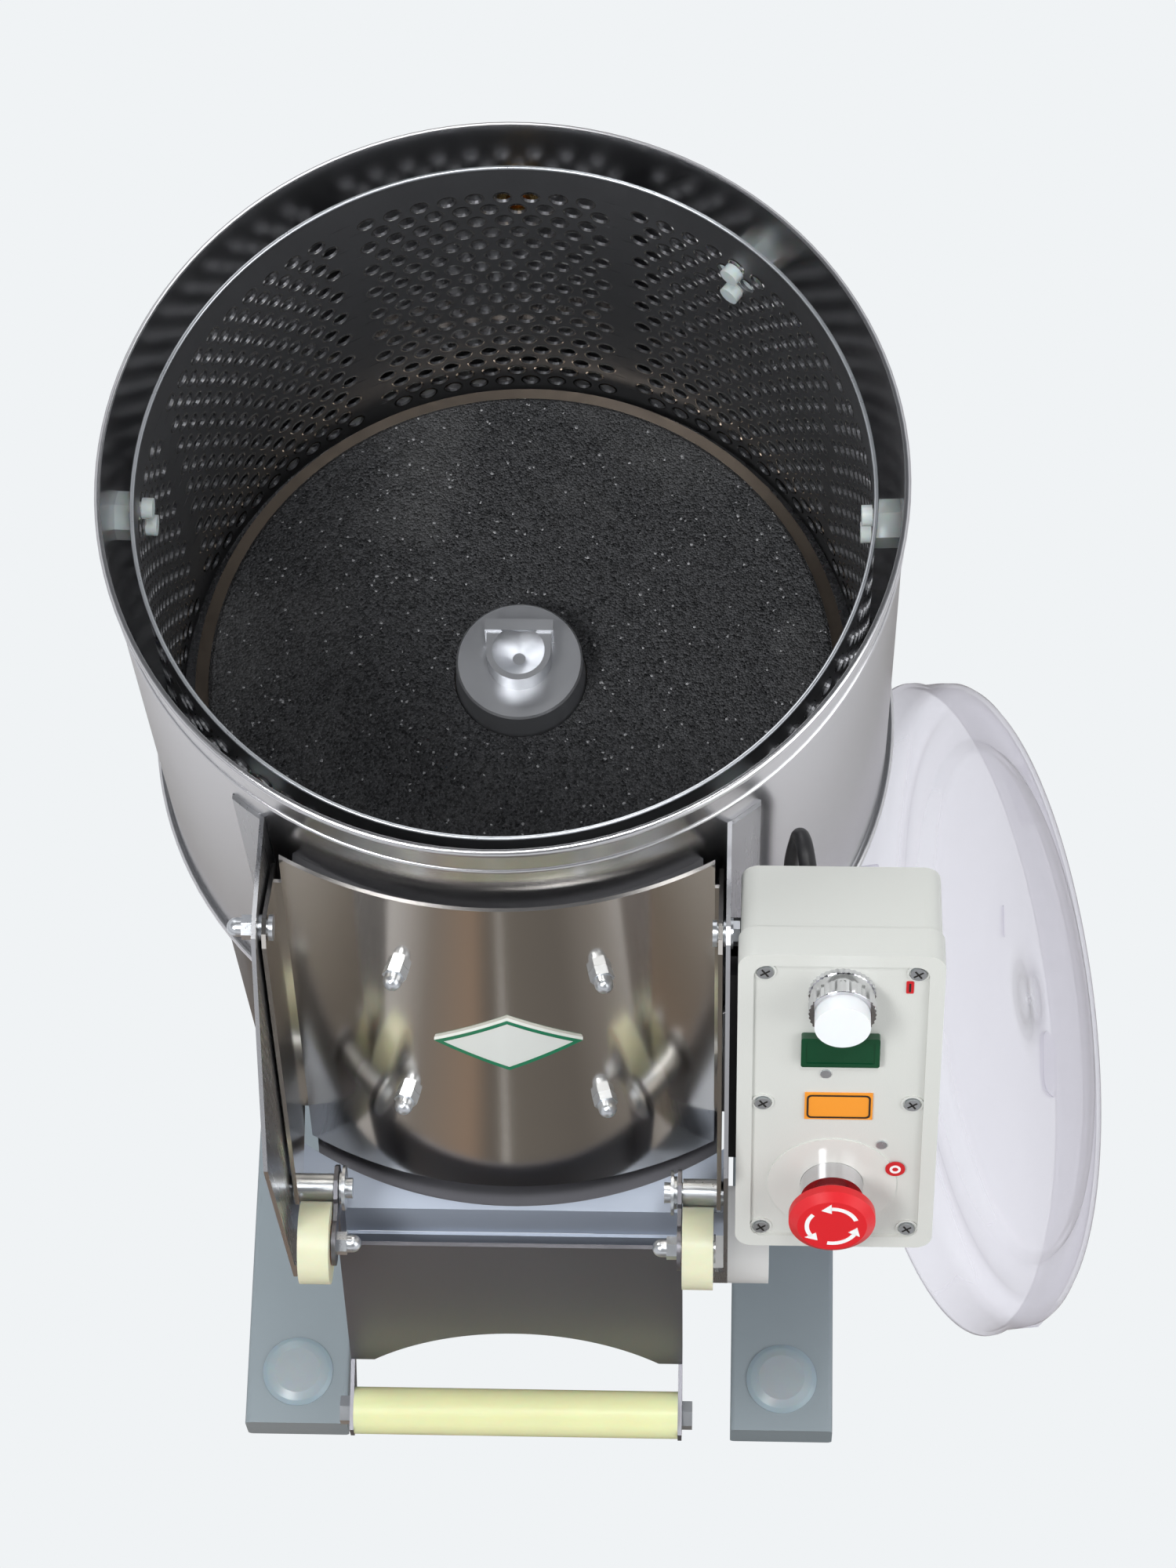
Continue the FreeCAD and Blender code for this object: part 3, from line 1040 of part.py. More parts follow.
def make_buttons():
    """The start button, the stop button and what belongs to them."""
    node(on_box(group("label_plate", block("label_block", ("label_width", "lens_height", "label_rise"),
                      ("start_across - label_width / 2", "-label_down - lens_height / 2", PANEL)))))
    node(on_box(group("button_collars", tube("start_bezel", "start_radius", "cap_radius + slip_gap",
                                             "cap_rise - cap_show", START),
                      tube("stop_collar_ring", "stop_collar", "stem_radius + slip_gap", "collar_rise",
                           STOP))))
    node(on_box(fuse("start_button", rod("start_cap", "cap_radius", "cap_rise", START),
                     rod("start_stem", "cap_radius * 0.6", "stem_depth",
                         (*START[:2], PANEL + " - stem_depth")))))
    node(on_box(group("estop_stem", rod("stop_stem", "stem_radius", "stop_rise - stop_head + stem_depth",
                                        (*STOP[:2], PANEL + " - stem_depth")))))
    head = turned("stop_head_body", (
        (0, "-stop_head"), ("stop_radius - stop_round", "-stop_head"),
        ("stop_radius", "-stop_head + stop_round"),
        ("stop_radius", "-stop_round * 0.75"), ("stop_radius - stop_round", 0), (0, 0)))
    node(on_box(group("estop_head", put(head, (*STOP[:2], PANEL + " + stop_rise")))))
    blocks = [block("contact_block_%d" % i, ("block_width", "block_length",
                                             PANEL + " - 2 * box_wall - stem_depth - stop_travel"),
                    (place[0] + " - block_width / 2", place[1] + " - block_length / 2", "box_wall"))
              for i, place in enumerate((START, STOP))]
    node(on_box(group("contact_blocks", *blocks)))


def bent_line(points):
    """Straight runs between the points, joined by tangent arcs at the inner ones."""
    edges, last = [], points[0]
    for before, here, after in zip(points, points[1:], points[2:]):
        back, on = before - here, after - here
        reach = 0.45 * min(back.Length, on.Length)
        start, end = here + back.normalize() * reach, here + on.normalize() * reach
        half = back.getAngle(on) / 2
        bisector = (back + on).normalize()
        radius = reach * math.tan(half)
        middle = here + bisector * (radius / math.sin(half) - radius)
        edges += [Part.LineSegment(last, start).toShape(), Part.Arc(start, middle, end).toShape()]
        last = end
    edges.append(Part.LineSegment(last, points[-1]).toShape())
    return Part.Wire(edges)


def make_cable():
    """The short cable from the control box's rear down the vessel wall to the housing."""
    lean = math.radians(size("box_lean"))
    outward = Vector(0, math.cos(lean), -math.sin(lean))
    start = Vector(size("box_left") + size("cable_across"),
                   size("box_y") - size("cable_down") * math.sin(lean),
                   size("box_z") - size("cable_down") * math.cos(lean))
    end = Vector(size("cable_x"), size("house_front"), size("cable_z"))
    gland = outward * size("gland_rise")
    clear = size("shell_radius") + 3 * size("cable_radius")
    beside = Vector(end.x, -math.sqrt(clear ** 2 - end.x ** 2), 0)
    route = [start + gland, start + gland * 1.5, beside + Vector(2, 0, start.z - 2),
             beside + Vector(-2, 0, start.z - 42),
             beside + Vector(0, 0, size("shell_base") - 10), end + Vector(0, -42, 7),
             end + Vector(0, -size("gland_rise"), 0)]
    path = bent_line(route)
    disc = Part.Wire(Part.makeCircle(size("cable_radius"), route[0], route[1] - route[0]))
    cable = doc.addObject("Part::Feature", "cable_run")
    cable.Shape = path.makePipeShell([disc], True, True)
    print("cable: swept %.0f mm3 for %.0f mm3" % (
        cable.Shape.Volume, path.Length * math.pi * size("cable_radius") ** 2))
    glands = [rod("box_gland", "gland_radius", "gland_rise",
                  ("cable_across", "-cable_down", "-gland_rise"))]
    wall = rod("housing_gland", "gland_radius", "gland_rise",
               ("cable_x", "house_front - gland_rise", "cable_z"), "y")
    node(group("box_cable", cable, on_box(group("box_gland_place", *glands)), wall))


def make_lid():
    """The domed lid, built rim down about its own axis and leaned against the housing's right side."""
    def skin(inset):
        return [("lid_radius * 0.45", "lid_dome - " + inset),
                ("lid_radius * 0.8", "lid_dome * 0.75 - " + inset),
                ("lid_radius * 0.95 - %s / 2" % inset, "lid_dome * 0.2 - " + inset),
                ("lid_radius - lid_wall / 4 - " + inset, "-lid_dome * 0.1 - " + inset)]
    outer, inner = skin("0"), skin("lid_wall")
    points = [(0, "lid_dome")] + outer + [("lid_radius", "-lid_skirt"),
                                          ("lid_radius - lid_wall", "-lid_skirt")]
    lid = turned("lid_moulding", points + inner[::-1] + [(0, "lid_dome - lid_wall")])
    lean = "(lid_lean * 1deg)"
    put(lid, ("house_half + lid_gap + lid_radius * sin(%s) + lid_skirt * cos(%s)" % (lean, lean), "lid_y",
              "lid_gap + lid_radius * cos(%s) + lid_skirt * sin(%s)" % (lean, lean)))
    node(tilt(lid, Vector(0, 1, 0), "90 - lid_lean"), "lid")


def make_drain():
    """The drain pipe from the waste floor down, forward and out to the right."""
    def run(tag, radius):
        bend, turn = ("drain_x", "drain_y", "drain_z"), ("drain_x", "drain_front", "drain_z")
        return fuse("drain_" + tag, rod("drain_drop_" + tag, radius, "floor_level - drain_z", bend),
                    ball("drain_bend_" + tag, radius, bend),
                    rod("drain_run_" + tag, radius, "drain_y - drain_front", bend, "-y"),
                    ball("drain_turn_" + tag, radius, turn),
                    rod("drain_out_" + tag, radius, "drain_end - drain_x", turn, "x"))
    node(cut("drain_outlet", run("wall", "drain_radius"), run("way", "drain_radius - drain_wall")))


make_feet()
make_housing()
make_vessel()
make_spindle()
make_bearings()
make_drive()
make_cheeks()
make_neck()
make_door()
make_lever()
make_box()
make_cable()
make_lid()
make_drain()

doc.recompute()
for obj in doc.Objects:
    if "Invalid" in obj.State or "Error" in obj.State:
        raise RuntimeError("%s failed: %s" % (obj.Label, obj.State))
for obj in NODES:
    if obj.Shape.isNull() or not obj.Shape.isValid() or not obj.Shape.Solids:
        raise RuntimeError("%s has no valid shape" % obj.Label)
os.makedirs("parts", exist_ok=True)
for obj in NODES:
    obj.Shape.exportStep("parts/%s.step" % obj.Label)
    box = obj.Shape.BoundBox
    print("%-20s %2d solids %9.1f cm3  x %7.1f %7.1f  y %7.1f %7.1f  z %7.1f %7.1f" % (
        obj.Label, len(obj.Shape.Solids), obj.Shape.Volume / 1000,
        box.XMin, box.XMax, box.YMin, box.YMax, box.ZMin, box.ZMax))
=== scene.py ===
import math
import bpy
from mathutils import Matrix, Vector


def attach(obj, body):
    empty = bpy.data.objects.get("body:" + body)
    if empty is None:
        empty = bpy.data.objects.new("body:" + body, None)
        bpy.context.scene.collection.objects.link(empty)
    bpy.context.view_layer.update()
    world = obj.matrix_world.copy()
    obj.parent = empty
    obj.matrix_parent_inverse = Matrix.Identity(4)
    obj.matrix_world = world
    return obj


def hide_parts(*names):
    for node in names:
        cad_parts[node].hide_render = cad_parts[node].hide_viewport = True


# Looks of an electric potato peeler in the row frame: +Z up, front towards -Y.
# Blender works in metres, and the points of the added pieces are given in millimetres.
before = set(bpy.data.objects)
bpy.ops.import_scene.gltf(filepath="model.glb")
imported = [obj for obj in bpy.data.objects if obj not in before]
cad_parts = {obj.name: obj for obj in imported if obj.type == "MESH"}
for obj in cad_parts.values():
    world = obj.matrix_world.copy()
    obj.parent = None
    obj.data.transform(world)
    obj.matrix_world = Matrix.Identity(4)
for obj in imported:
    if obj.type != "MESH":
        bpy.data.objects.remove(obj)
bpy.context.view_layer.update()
MM = 0.001

# The camera stands in front of the machine and looks down into its vessel.
CAMERA_PLACE = (0.11045, -0.95233, 2.64259)
CAMERA_PITCH = 67.378
CAMERA_YAW = -4.8205
CAMERA_ROLL = -3.7754
CAMERA_LENS = 144.0

# Places and sizes of the frame that the added pieces follow, in millimetres and degrees.
LINER_INNER = 170.8
LINER_OUTER = 172.0
LINER_LOW = 470.0
LINER_HIGH = 698.0
OPENING_HALF = 90.0
OPENING_LOW = 476.0
OPENING_HIGH = 642.0
BOX_CORNER = (111.5, -172.0, 670.0)
BOX_LEAN = 24.7
BOX_WIDTH = 90.0
BOX_LENGTH = 190.0
PANEL_LEVEL = 56.0
PLATE_HEIGHT = 0.8
START = (45.5, -24.0)
LENS = (45.5, -59.0)
LABEL = (45.5, -97.0)
STOP = (43.5, -149.0)
STOP_TOP = 27.0
HINGE = (0.0, -203.0, 665.0)
DOOR_LEAN = 14.0
PANEL_AXIS = 201.5
PANEL_RADIUS = 190.0
BADGE_HALF = 35.0
BADGE_RISE = 21.0
BADGE_SIDE = 3.0
BADGE_DROP = 109.0
BADGE_WALL = 1.6
LID_RADIUS = 183.0
LID_SKIRT = 26.0
LID_LEAN = 22.0
LID_PLACE = (255.06, -58.0, 179.82)
AXIS = (0.0, 0.0)
CHUTE_AXIS = -63.5
CHUTE_HALF = 103
CHUTE_BACK = -172.0
CHUTE_LEVEL = 411.0
CHUTE_SHEET = 1.6


def paint(red, green, blue):
    """A display colour of 0 to 255 as the linear colour that shaders use."""
    def linear(value):
        """One channel as light."""
        c = value / 255
        return c / 12.92 if c <= 0.04045 else ((c + 0.055) / 1.055) ** 2.4
    return (linear(red), linear(green), linear(blue), 1.0)


def link(tree, start, end):
    """Joins an output to an input."""
    tree.links.new(start, end)


def feed(tree, value, socket):
    """Joins an output to an input, or sets the input where the value is a plain one."""
    if hasattr(value, "links"):
        link(tree, value, socket)
    else:
        socket.default_value = value


def new_group(name, inputs, outputs):
    """An empty effect group with its named sockets."""
    tree = bpy.data.node_groups.new(name, "ShaderNodeTree")
    kinds = {"colour": "NodeSocketColor", "value": "NodeSocketFloat", "vector": "NodeSocketVector"}
    for label, kind in inputs:
        tree.interface.new_socket(label, in_out="INPUT", socket_type=kinds[kind])
    for label, kind in outputs:
        tree.interface.new_socket(label, in_out="OUTPUT", socket_type=kinds[kind])
    return tree, tree.nodes.new("NodeGroupInput"), tree.nodes.new("NodeGroupOutput")


def math_node(tree, operation, *values):
    """A math node whose inputs are sockets or numbers; returns its output."""
    node = tree.nodes.new("ShaderNodeMath")
    node.operation = operation
    for socket, value in zip(node.inputs, values):
        feed(tree, value, socket)
    return node.outputs[0]


def mix_colours(tree, share, under, over):
    """A colour mix of sockets or plain values; returns its output."""
    node = tree.nodes.new("ShaderNodeMix")
    node.data_type = "RGBA"
    for socket, value in ((node.inputs[0], share), (node.inputs[6], under), (node.inputs[7], over)):
        feed(tree, value, socket)
    return node.outputs[2]


def noise(tree, place, scale, detail):
    """A cloudy noise; returns the output of its value."""
    node = tree.nodes.new("ShaderNodeTexNoise")
    node.inputs["Detail"].default_value = detail
    link(tree, place, node.inputs["Vector"])
    feed(tree, scale, node.inputs["Scale"])
    return node.outputs[0]


def colour_ramp(tree, stops):
    """A colour ramp with the positions and colours given."""
    ramp = tree.nodes.new("ShaderNodeValToRGB")
    for i, (position, colour) in enumerate(stops):
        element = ramp.color_ramp.elements[i] if i < 2 else ramp.color_ramp.elements.new(position)
        element.position = position
        element.color = colour
    return ramp


def variation_group():
    """Cloudy change of colour and roughness with a fine grain that can be drawn out into lines."""
    tree, given, result = new_group(
        "surface_variation",
        (("Colour", "colour"), ("Roughness", "value"), ("Cloud Scale", "value"), ("Change", "value"),
         ("Grain Scale", "vector"), ("Bump", "value")),
        (("Colour", "colour"), ("Roughness", "value"), ("Normal", "vector")))
    place = tree.nodes.new("ShaderNodeTexCoord").outputs["Object"]
    cloud = noise(tree, place, given.outputs["Cloud Scale"], 5.0)
    drawn = tree.nodes.new("ShaderNodeVectorMath")
    drawn.operation = "MULTIPLY"
    link(tree, place, drawn.inputs[0])
    link(tree, given.outputs["Grain Scale"], drawn.inputs[1])
    grain = noise(tree, drawn.outputs[0], 1.0, 3.0)
    swing = math_node(tree, "SUBTRACT", cloud, 0.5)
    shade = math_node(tree, "MULTIPLY_ADD", swing, given.outputs["Change"], 1.0)
    tone = tree.nodes.new("ShaderNodeHueSaturation")
    link(tree, given.outputs["Colour"], tone.inputs["Color"])
    link(tree, shade, tone.inputs["Value"])
    link(tree, tone.outputs[0], result.inputs["Colour"])
    lines = math_node(tree, "SUBTRACT", grain, 0.5)
    both = math_node(tree, "ADD", lines, swing)
    spread = math_node(tree, "MULTIPLY", both, given.outputs["Change"])
    rough = math_node(tree, "ADD", given.outputs["Roughness"], math_node(tree, "MULTIPLY", spread, 0.5))
    link(tree, math_node(tree, "MAXIMUM", rough, 0.02), result.inputs["Roughness"])
    bump = tree.nodes.new("ShaderNodeBump")
    bump.inputs["Distance"].default_value = 0.0005
    link(tree, given.outputs["Bump"], bump.inputs["Strength"])
    link(tree, grain, bump.inputs["Height"])
    link(tree, bump.outputs[0], result.inputs["Normal"])
    return tree


def grit_group():
    """Packed dark grains with a few painted glints on single grains and pale dust."""
    tree, given, result = new_group(
        "grit_grains", (("Grain Scale", "value"), ("Dust", "value")),
        (("Colour", "colour"), ("Roughness", "value"), ("Normal", "vector")))
    place = tree.nodes.new("ShaderNodeTexCoord").outputs["Object"]
    cells = tree.nodes.new("ShaderNodeTexVoronoi")
    link(tree, place, cells.inputs["Vector"])
    link(tree, given.outputs["Grain Scale"], cells.inputs["Scale"])
    split = tree.nodes.new("ShaderNodeSeparateColor")
    link(tree, cells.outputs["Color"], split.inputs[0])
    glint_rarity = 0.993
    dust_floor = 0.52
    # A few grains are coloured light grey as painted glints.
    glint_mask = math_node(tree, "GREATER_THAN", split.outputs[0], glint_rarity)
    cloud = math_node(tree, "SUBTRACT", noise(tree, place, 9.0, 6.0), dust_floor)
    patch = math_node(tree, "MULTIPLY", cloud, given.outputs["Dust"])
    shade = math_node(tree, "MULTIPLY", split.outputs[1], 0.8)
    dark = mix_colours(tree, shade, paint(30, 31, 33), paint(84, 85, 88))
    dusty = mix_colours(tree, math_node(tree, "MAXIMUM", patch, 0.0), dark, paint(150, 150, 150))
    bright = mix_colours(tree, glint_mask, dusty, paint(170, 171, 174))
    link(tree, bright, result.inputs["Colour"])
    link(tree, math_node(tree, "MULTIPLY_ADD", split.outputs[2], 0.5, 0.35), result.inputs["Roughness"])
    bump = tree.nodes.new("ShaderNodeBump")
    bump.inputs["Strength"].default_value = 1.0
    bump.inputs["Distance"].default_value = 0.0012
    bump.invert = True
    link(tree, cells.outputs["Distance"], bump.inputs["Height"])
    link(tree, bump.outputs[0], result.inputs["Normal"])
    return tree


PALE = paint(240, 243, 245)
VARIATION = variation_group()
GRIT = grit_group()


def start_material(name, group):
    """A material with a Principled shader fed by an effect group."""
    made = bpy.data.materials.new(name)
    made.use_nodes = True
    tree = made.node_tree
    shader = tree.nodes["Principled BSDF"]
    effect = tree.nodes.new("ShaderNodeGroup")
    effect.node_tree = group
    link(tree, effect.outputs["Colour"], shader.inputs["Base Color"])
    link(tree, effect.outputs["Roughness"], shader.inputs["Roughness"])
    link(tree, effect.outputs["Normal"], shader.inputs["Normal"])
    return made, shader, effect


def even(scale):
    """A grain scale that is the same in all directions."""
    return (scale, scale, scale)


def finish(name, colour, roughness, metallic, cloud, change, grain, bump, **more):
    """A surface with the general variation; more holds other sockets of the shader by name."""
    made, shader, effect = start_material(name, VARIATION)
    effect.inputs["Colour"].default_value = colour
    effect.inputs["Roughness"].default_value = roughness
    effect.inputs["Cloud Scale"].default_value = cloud
    effect.inputs["Change"].default_value = change
    effect.inputs["Grain Scale"].default_value = grain
    effect.inputs["Bump"].default_value = bump
    shader.inputs["Metallic"].default_value = metallic
    for label, value in more.items():
        shader.inputs[label.replace("_", " ")].default_value = value
    return made


def grit_material():
    """The abrasive layer: dark packed grains with a little dust."""
    made, _, effect = start_material("abrasive_grit", GRIT)
    effect.inputs["Grain Scale"].default_value = 900.0
    effect.inputs["Dust"].default_value = 0.9
    return made


def clear_material():
    """Thin clear plastic: mostly see-through, tinted and glossy where it is seen edge on."""
    made, shader, effect = start_material("clear_plastic", VARIATION)
    effect.inputs["Colour"].default_value = paint(240, 239, 245)
    effect.inputs["Roughness"].default_value = 0.1
    effect.inputs["Cloud Scale"].default_value = 8.0
    effect.inputs["Change"].default_value = 0.04
    effect.inputs["Grain Scale"].default_value = even(60)
    effect.inputs["Bump"].default_value = 0.01
    tree = made.node_tree
    facing = tree.nodes.new("ShaderNodeLayerWeight")
    facing.inputs["Blend"].default_value = 0.22
    clear = tree.nodes.new("ShaderNodeBsdfTransparent")
    clear.inputs["Color"].default_value = paint(251, 250, 253)
    share = math_node(tree, "MULTIPLY_ADD", facing.outputs["Facing"], 0.85, 0.1)
    blend = tree.nodes.new("ShaderNodeMixShader")
    link(tree, share, blend.inputs[0])
    link(tree, clear.outputs[0], blend.inputs[1])
    link(tree, shader.outputs[0], blend.inputs[2])
    link(tree, blend.outputs[0], tree.nodes["Material Output"].inputs[0])
    return made


# Brushed lines run up the steel sheets, and smooth surfaces have a wide soft grain.
UPRIGHT = (500, 500, 12)
SMOOTH = even(40)

# Each finish gives its colour, roughness, metallic, cloud scale, change, grain scale and bump.
MATERIALS = {
    "shell_steel": finish("shell_steel", paint(212, 212, 214), 0.24, 1.0, 5, 0.05, SMOOTH, 0.0),
    "door_steel": finish("door_steel", paint(212, 208, 202), 0.13, 1.0, 9, 0.06, UPRIGHT, 0.01),
    "liner_steel": finish("liner_steel", paint(120, 121, 124), 0.42, 0.85, 20, 0.2, even(700), 0.03),
    "sheet_steel": finish("sheet_steel", paint(180, 181, 184), 0.28, 1.0, 10, 0.12, UPRIGHT, 0.02),
    "floor_steel": finish("floor_steel", paint(190, 200, 216), 0.5, 0.45, 10, 0.12, (12, 500, 500), 0.02),
    # The next finish is a much lighter, glossier copy of the liner steel for the raised hole lips: a
    # painted highlight.
    "lip_highlight_steel": finish("lip_highlight_steel", paint(226, 224, 220), 0.14, 1.0, 30, 0.1, SMOOTH, 0.0),
    # The next finish is a dark steel that stands in for the shade on the discharge neck: painted shade.
    "painted_shade_steel": finish("painted_shade_steel", paint(62, 62, 64), 0.45, 0.8, 14, 0.12, UPRIGHT, 0.02),
    "lever_steel": finish("lever_steel", paint(126, 126, 132), 0.4, 0.9, 14, 0.12, UPRIGHT, 0.02),
    "zinc": finish("zinc", paint(206, 210, 214), 0.3, 0.9, 60, 0.2, even(800), 0.04),
    "chrome": finish("chrome", paint(215, 215, 218), 0.1, 1.0, 30, 0.1, even(900), 0.02),
    "cast_alloy": finish("cast_alloy", paint(204, 206, 210), 0.34, 0.9, 40, 0.1, SMOOTH, 0.0),
    "carrier_steel": finish("carrier_steel", paint(122, 112, 102), 0.35, 1.0, 25, 0.3, even(300), 0.05),
    "cast_iron": finish("cast_iron", paint(70, 72, 74), 0.6, 0.6, 30, 0.4, even(400), 0.4),
    "motor_paint": finish("motor_paint", paint(60, 78, 98), 0.45, 0.0, 20, 0.2, even(500), 0.2),
    "beam_paint": finish("beam_paint", paint(156, 168, 174), 0.42, 0.0, 14, 0.14, even(420), 0.12),
    "plug_plastic": finish("plug_plastic", paint(196, 204, 210), 0.3, 0.0, 30, 0.1, even(300), 0.02,
                           Subsurface_Weight=0.3, Transmission_Weight=0.2),
    "rubber": finish("rubber", paint(30, 30, 31), 0.7, 0.0, 40, 0.3, even(600), 0.3),
    "nylon": finish("nylon", paint(225, 226, 224), 0.35, 0.0, 60, 0.1, even(600), 0.03,
                    Subsurface_Weight=0.3),
    "grip_nylon": finish("grip_nylon", paint(232, 228, 176), 0.32, 0.0, 22, 0.16, (160, 900, 900), 0.12,
                         Subsurface_Weight=0.25),
    "roller_nylon": finish("roller_nylon", paint(222, 220, 190), 0.36, 0.0, 30, 0.16, even(500), 0.08,
                           Subsurface_Weight=0.25),
    "box_plastic": finish("box_plastic", paint(206, 208, 203), 0.42, 0.0, 8, 0.05, even(1500), 0.12),
    "lens_green": finish("lens_green", paint(10, 66, 40), 0.12, 0.0, 40, 0.4, even(260), 0.1,
                         Coat_Weight=0.6),
    "label_orange": finish("label_orange", paint(236, 150, 44), 0.4, 0.0, 40, 0.08, even(900), 0.02),
    "ink_black": finish("ink_black", paint(26, 24, 22), 0.5, 0.0, 40, 0.1, even(900), 0.02),
    "mark_red": finish("mark_red", paint(196, 22, 30), 0.45, 0.0, 40, 0.1, even(900), 0.02),
    "stop_red": finish("stop_red", paint(214, 24, 34), 0.38, 0.0, 20, 0.06, even(800), 0.05,
                       Subsurface_Weight=0.1),
    "mark_white": finish("mark_white", paint(240, 240, 240), 0.5, 0.0, 40, 0.05, even(900), 0.02),
    "cap_white": finish("cap_white", paint(236, 238, 240), 0.3, 0.0, 20, 0.05, even(900), 0.02,
                        Subsurface_Weight=0.1),
    "legend_clear": finish("legend_clear", paint(212, 214, 209), 0.18, 0.0, 20, 0.03, even(900), 0.02),
    "badge_white": finish("badge_white", paint(226, 230, 226), 0.25, 0.0, 20, 0.06, even(900), 0.02,
                          Coat_Weight=0.5),
    "badge_green": finish("badge_green", paint(24, 120, 84), 0.25, 0.0, 20, 0.06, even(900), 0.02,
                          Coat_Weight=0.5),
    "black_plastic": finish("black_plastic", paint(34, 34, 36), 0.45, 0.0, 30, 0.2, even(700), 0.1),
    "brass": finish("brass", paint(196, 160, 92), 0.28, 1.0, 30, 0.2, even(600), 0.06),
    "pvc": finish("pvc", paint(232, 232, 230), 0.35, 0.0, 10, 0.06, even(400), 0.03),
    "grit": grit_material(),
    "lid_clear": clear_material(),
}

NODE_LOOKS = {
    "foot_beam_left": "beam_paint", "foot_beam_right": "beam_paint", "foot_plugs": "plug_plastic",
    "rubber_feet": "rubber", "base_plate": "sheet_steel", "lower_housing": "sheet_steel",
    "rear_cover": "sheet_steel", "rear_cover_screws": "zinc", "vessel_shell": "shell_steel",
    "vessel_floor": "sheet_steel", "perforated_liner": "liner_steel", "liner_fixings": "nylon",
    "water_inlet": "brass", "abrasive_disc": "carrier_steel", "abrasive_layer": "grit",
    "hub_cap": "cast_alloy", "lifting_eye": "cast_alloy", "main_shaft": "zinc",
    "large_pulley": "cast_iron", "bearing_housing": "cast_iron", "ball_bearings": "zinc",
    "shaft_seal": "rubber", "motor_plate": "zinc", "motor_body": "motor_paint", "motor_shaft": "zinc",
    "small_pulley": "cast_iron", "drive_belt": "rubber", "chute_cheek_left": "sheet_steel",
    "chute_cheek_right": "sheet_steel", "hinge_bolts": "zinc", "chute_floor": "floor_steel",
    # The discharge neck is given the dark steel of painted shade.
    "discharge_neck": "painted_shade_steel", "door_panel": "door_steel", "door_gasket": "rubber",
    "door_inner_plate": "sheet_steel", "door_nuts": "zinc", "badge_plate": "badge_white",
    "pivot_pins": "zinc", "lever_frame": "lever_steel", "grip_tube": "grip_nylon", "grip_bolt": "zinc",
    "roller_left": "roller_nylon", "roller_right": "roller_nylon", "roller_axles": "zinc",
    "control_box_base": "box_plastic", "control_box_cover": "box_plastic", "box_screws": "zinc",
    "green_lens": "lens_green", "label_plate": "label_orange", "button_collars": "chrome",
    "start_button": "cap_white", "estop_stem": "chrome", "estop_head": "stop_red",
    "contact_blocks": "black_plastic", "box_bracket": "black_plastic", "box_cable": "black_plastic",
    "lid": "lid_clear", "drain_outlet": "pvc",
}


def dress_frame():
    """Gives every carried-over node its finish, and soft edges to the moulded, cast and bent ones."""
    for name, look in NODE_LOOKS.items():
        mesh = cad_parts[name].data
        mesh.materials.clear()
        mesh.materials.append(MATERIALS[look])
    soft_widths = {
        "control_box_base": 1.2, "control_box_cover": 1.2, "foot_beam_left": 1.2,
        "foot_beam_right": 1.2, "hub_cap": 1.0, "lifting_eye": 0.6, "lever_frame": 0.4,
        "chute_floor": 0.4, "estop_head": 0.8, "start_button": 0.6, "roller_left": 0.8,
        "roller_right": 0.8, "grip_bolt": 0.4, "door_nuts": 0.3,
    }
    for name, width in soft_widths.items():
        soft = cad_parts[name].modifiers.new("soft_edges", "BEVEL")
        soft.width = width * MM
        soft.segments = 3
        soft.limit_method = "ANGLE"
        soft.angle_limit = math.radians(50)


def piece(name, points, faces, body, look, smooth=True):
    """A mesh piece from points in millimetres that moves with a body."""
    mesh = bpy.data.meshes.new(name)
    mesh.from_pydata([Vector(p) * MM for p in points], [], faces)
    mesh.validate()
    mesh.update()
    made = bpy.data.objects.new(name, mesh)
    bpy.context.scene.collection.objects.link(made)
    mesh.materials.append(MATERIALS[look])
    if smooth:
        mesh.polygons.foreach_set("use_smooth", [True] * len(mesh.polygons))
    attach(made, body)
    return made


def on_box(x, y, z):
    """A place on the control box: across, up the panel and out of it."""
    turn = Matrix.Rotation(math.radians(90 - BOX_LEAN), 3, "X")
    return Vector(BOX_CORNER) + turn @ Vector((x, y, z))


def on_door(x, z, lift):
    """A place on the door's curved panel: across, below the hinge and off the surface."""
    angle = math.asin(x / PANEL_RADIUS)
    radius = PANEL_RADIUS + lift
    local = Vector((radius * math.sin(angle), PANEL_AXIS - radius * math.cos(angle), -z))
    return Vector(HINGE) + Matrix.Rotation(math.radians(-DOOR_LEAN), 3, "X") @ local


def on_lid(x, y, z):
    """A place on the leaning lid, built about its own axis."""
    turn = Matrix.Rotation(math.radians(90 - LID_LEAN), 3, "Y")
    return Vector(LID_PLACE) + turn @ Vector((x, y, z))


def strip(name, outer, inner, low, high, placed, body, look, closed=True):
    """A flat band between two matching outlines, from one level to another."""
    count = len(outer)
    points = [placed(*p, level) for level in (low, high) for ring in (outer, inner) for p in ring]
    faces = []
    for i in range(count if closed else count - 1):
        k = (i + 1) % count
        a, b, c, d = i, count + i, 2 * count + i, 3 * count + i
        e, f, g, h = k, count + k, 2 * count + k, 3 * count + k
        faces += [(c, g, h, d), (a, b, f, e), (a, e, g, c), (b, d, h, f)]
    if not closed:
        last = count - 1
        faces += [(0, 2 * count, 3 * count, count),
                  (last, count + last, 3 * count + last, 2 * count + last)]
    return piece(name, points, faces, body, look, False)


def about(centre, radius, angle):
    """The point at a radius and an angle, in radians, about a centre."""
    return (centre[0] + radius * math.cos(angle), centre[1] + radius * math.sin(angle))


def arc_points(centre, radius, start, end, count):
    """Points along an arc, angles in degrees."""
    steps = [math.radians(start + (end - start) * i / (count - 1)) for i in range(count)]
    return [about(centre, radius, a) for a in steps]


def ring_points(centre, radius, count=48):
    """Points right round a circle."""
    return arc_points(centre, radius, 0, 360 - 360 / count, count)


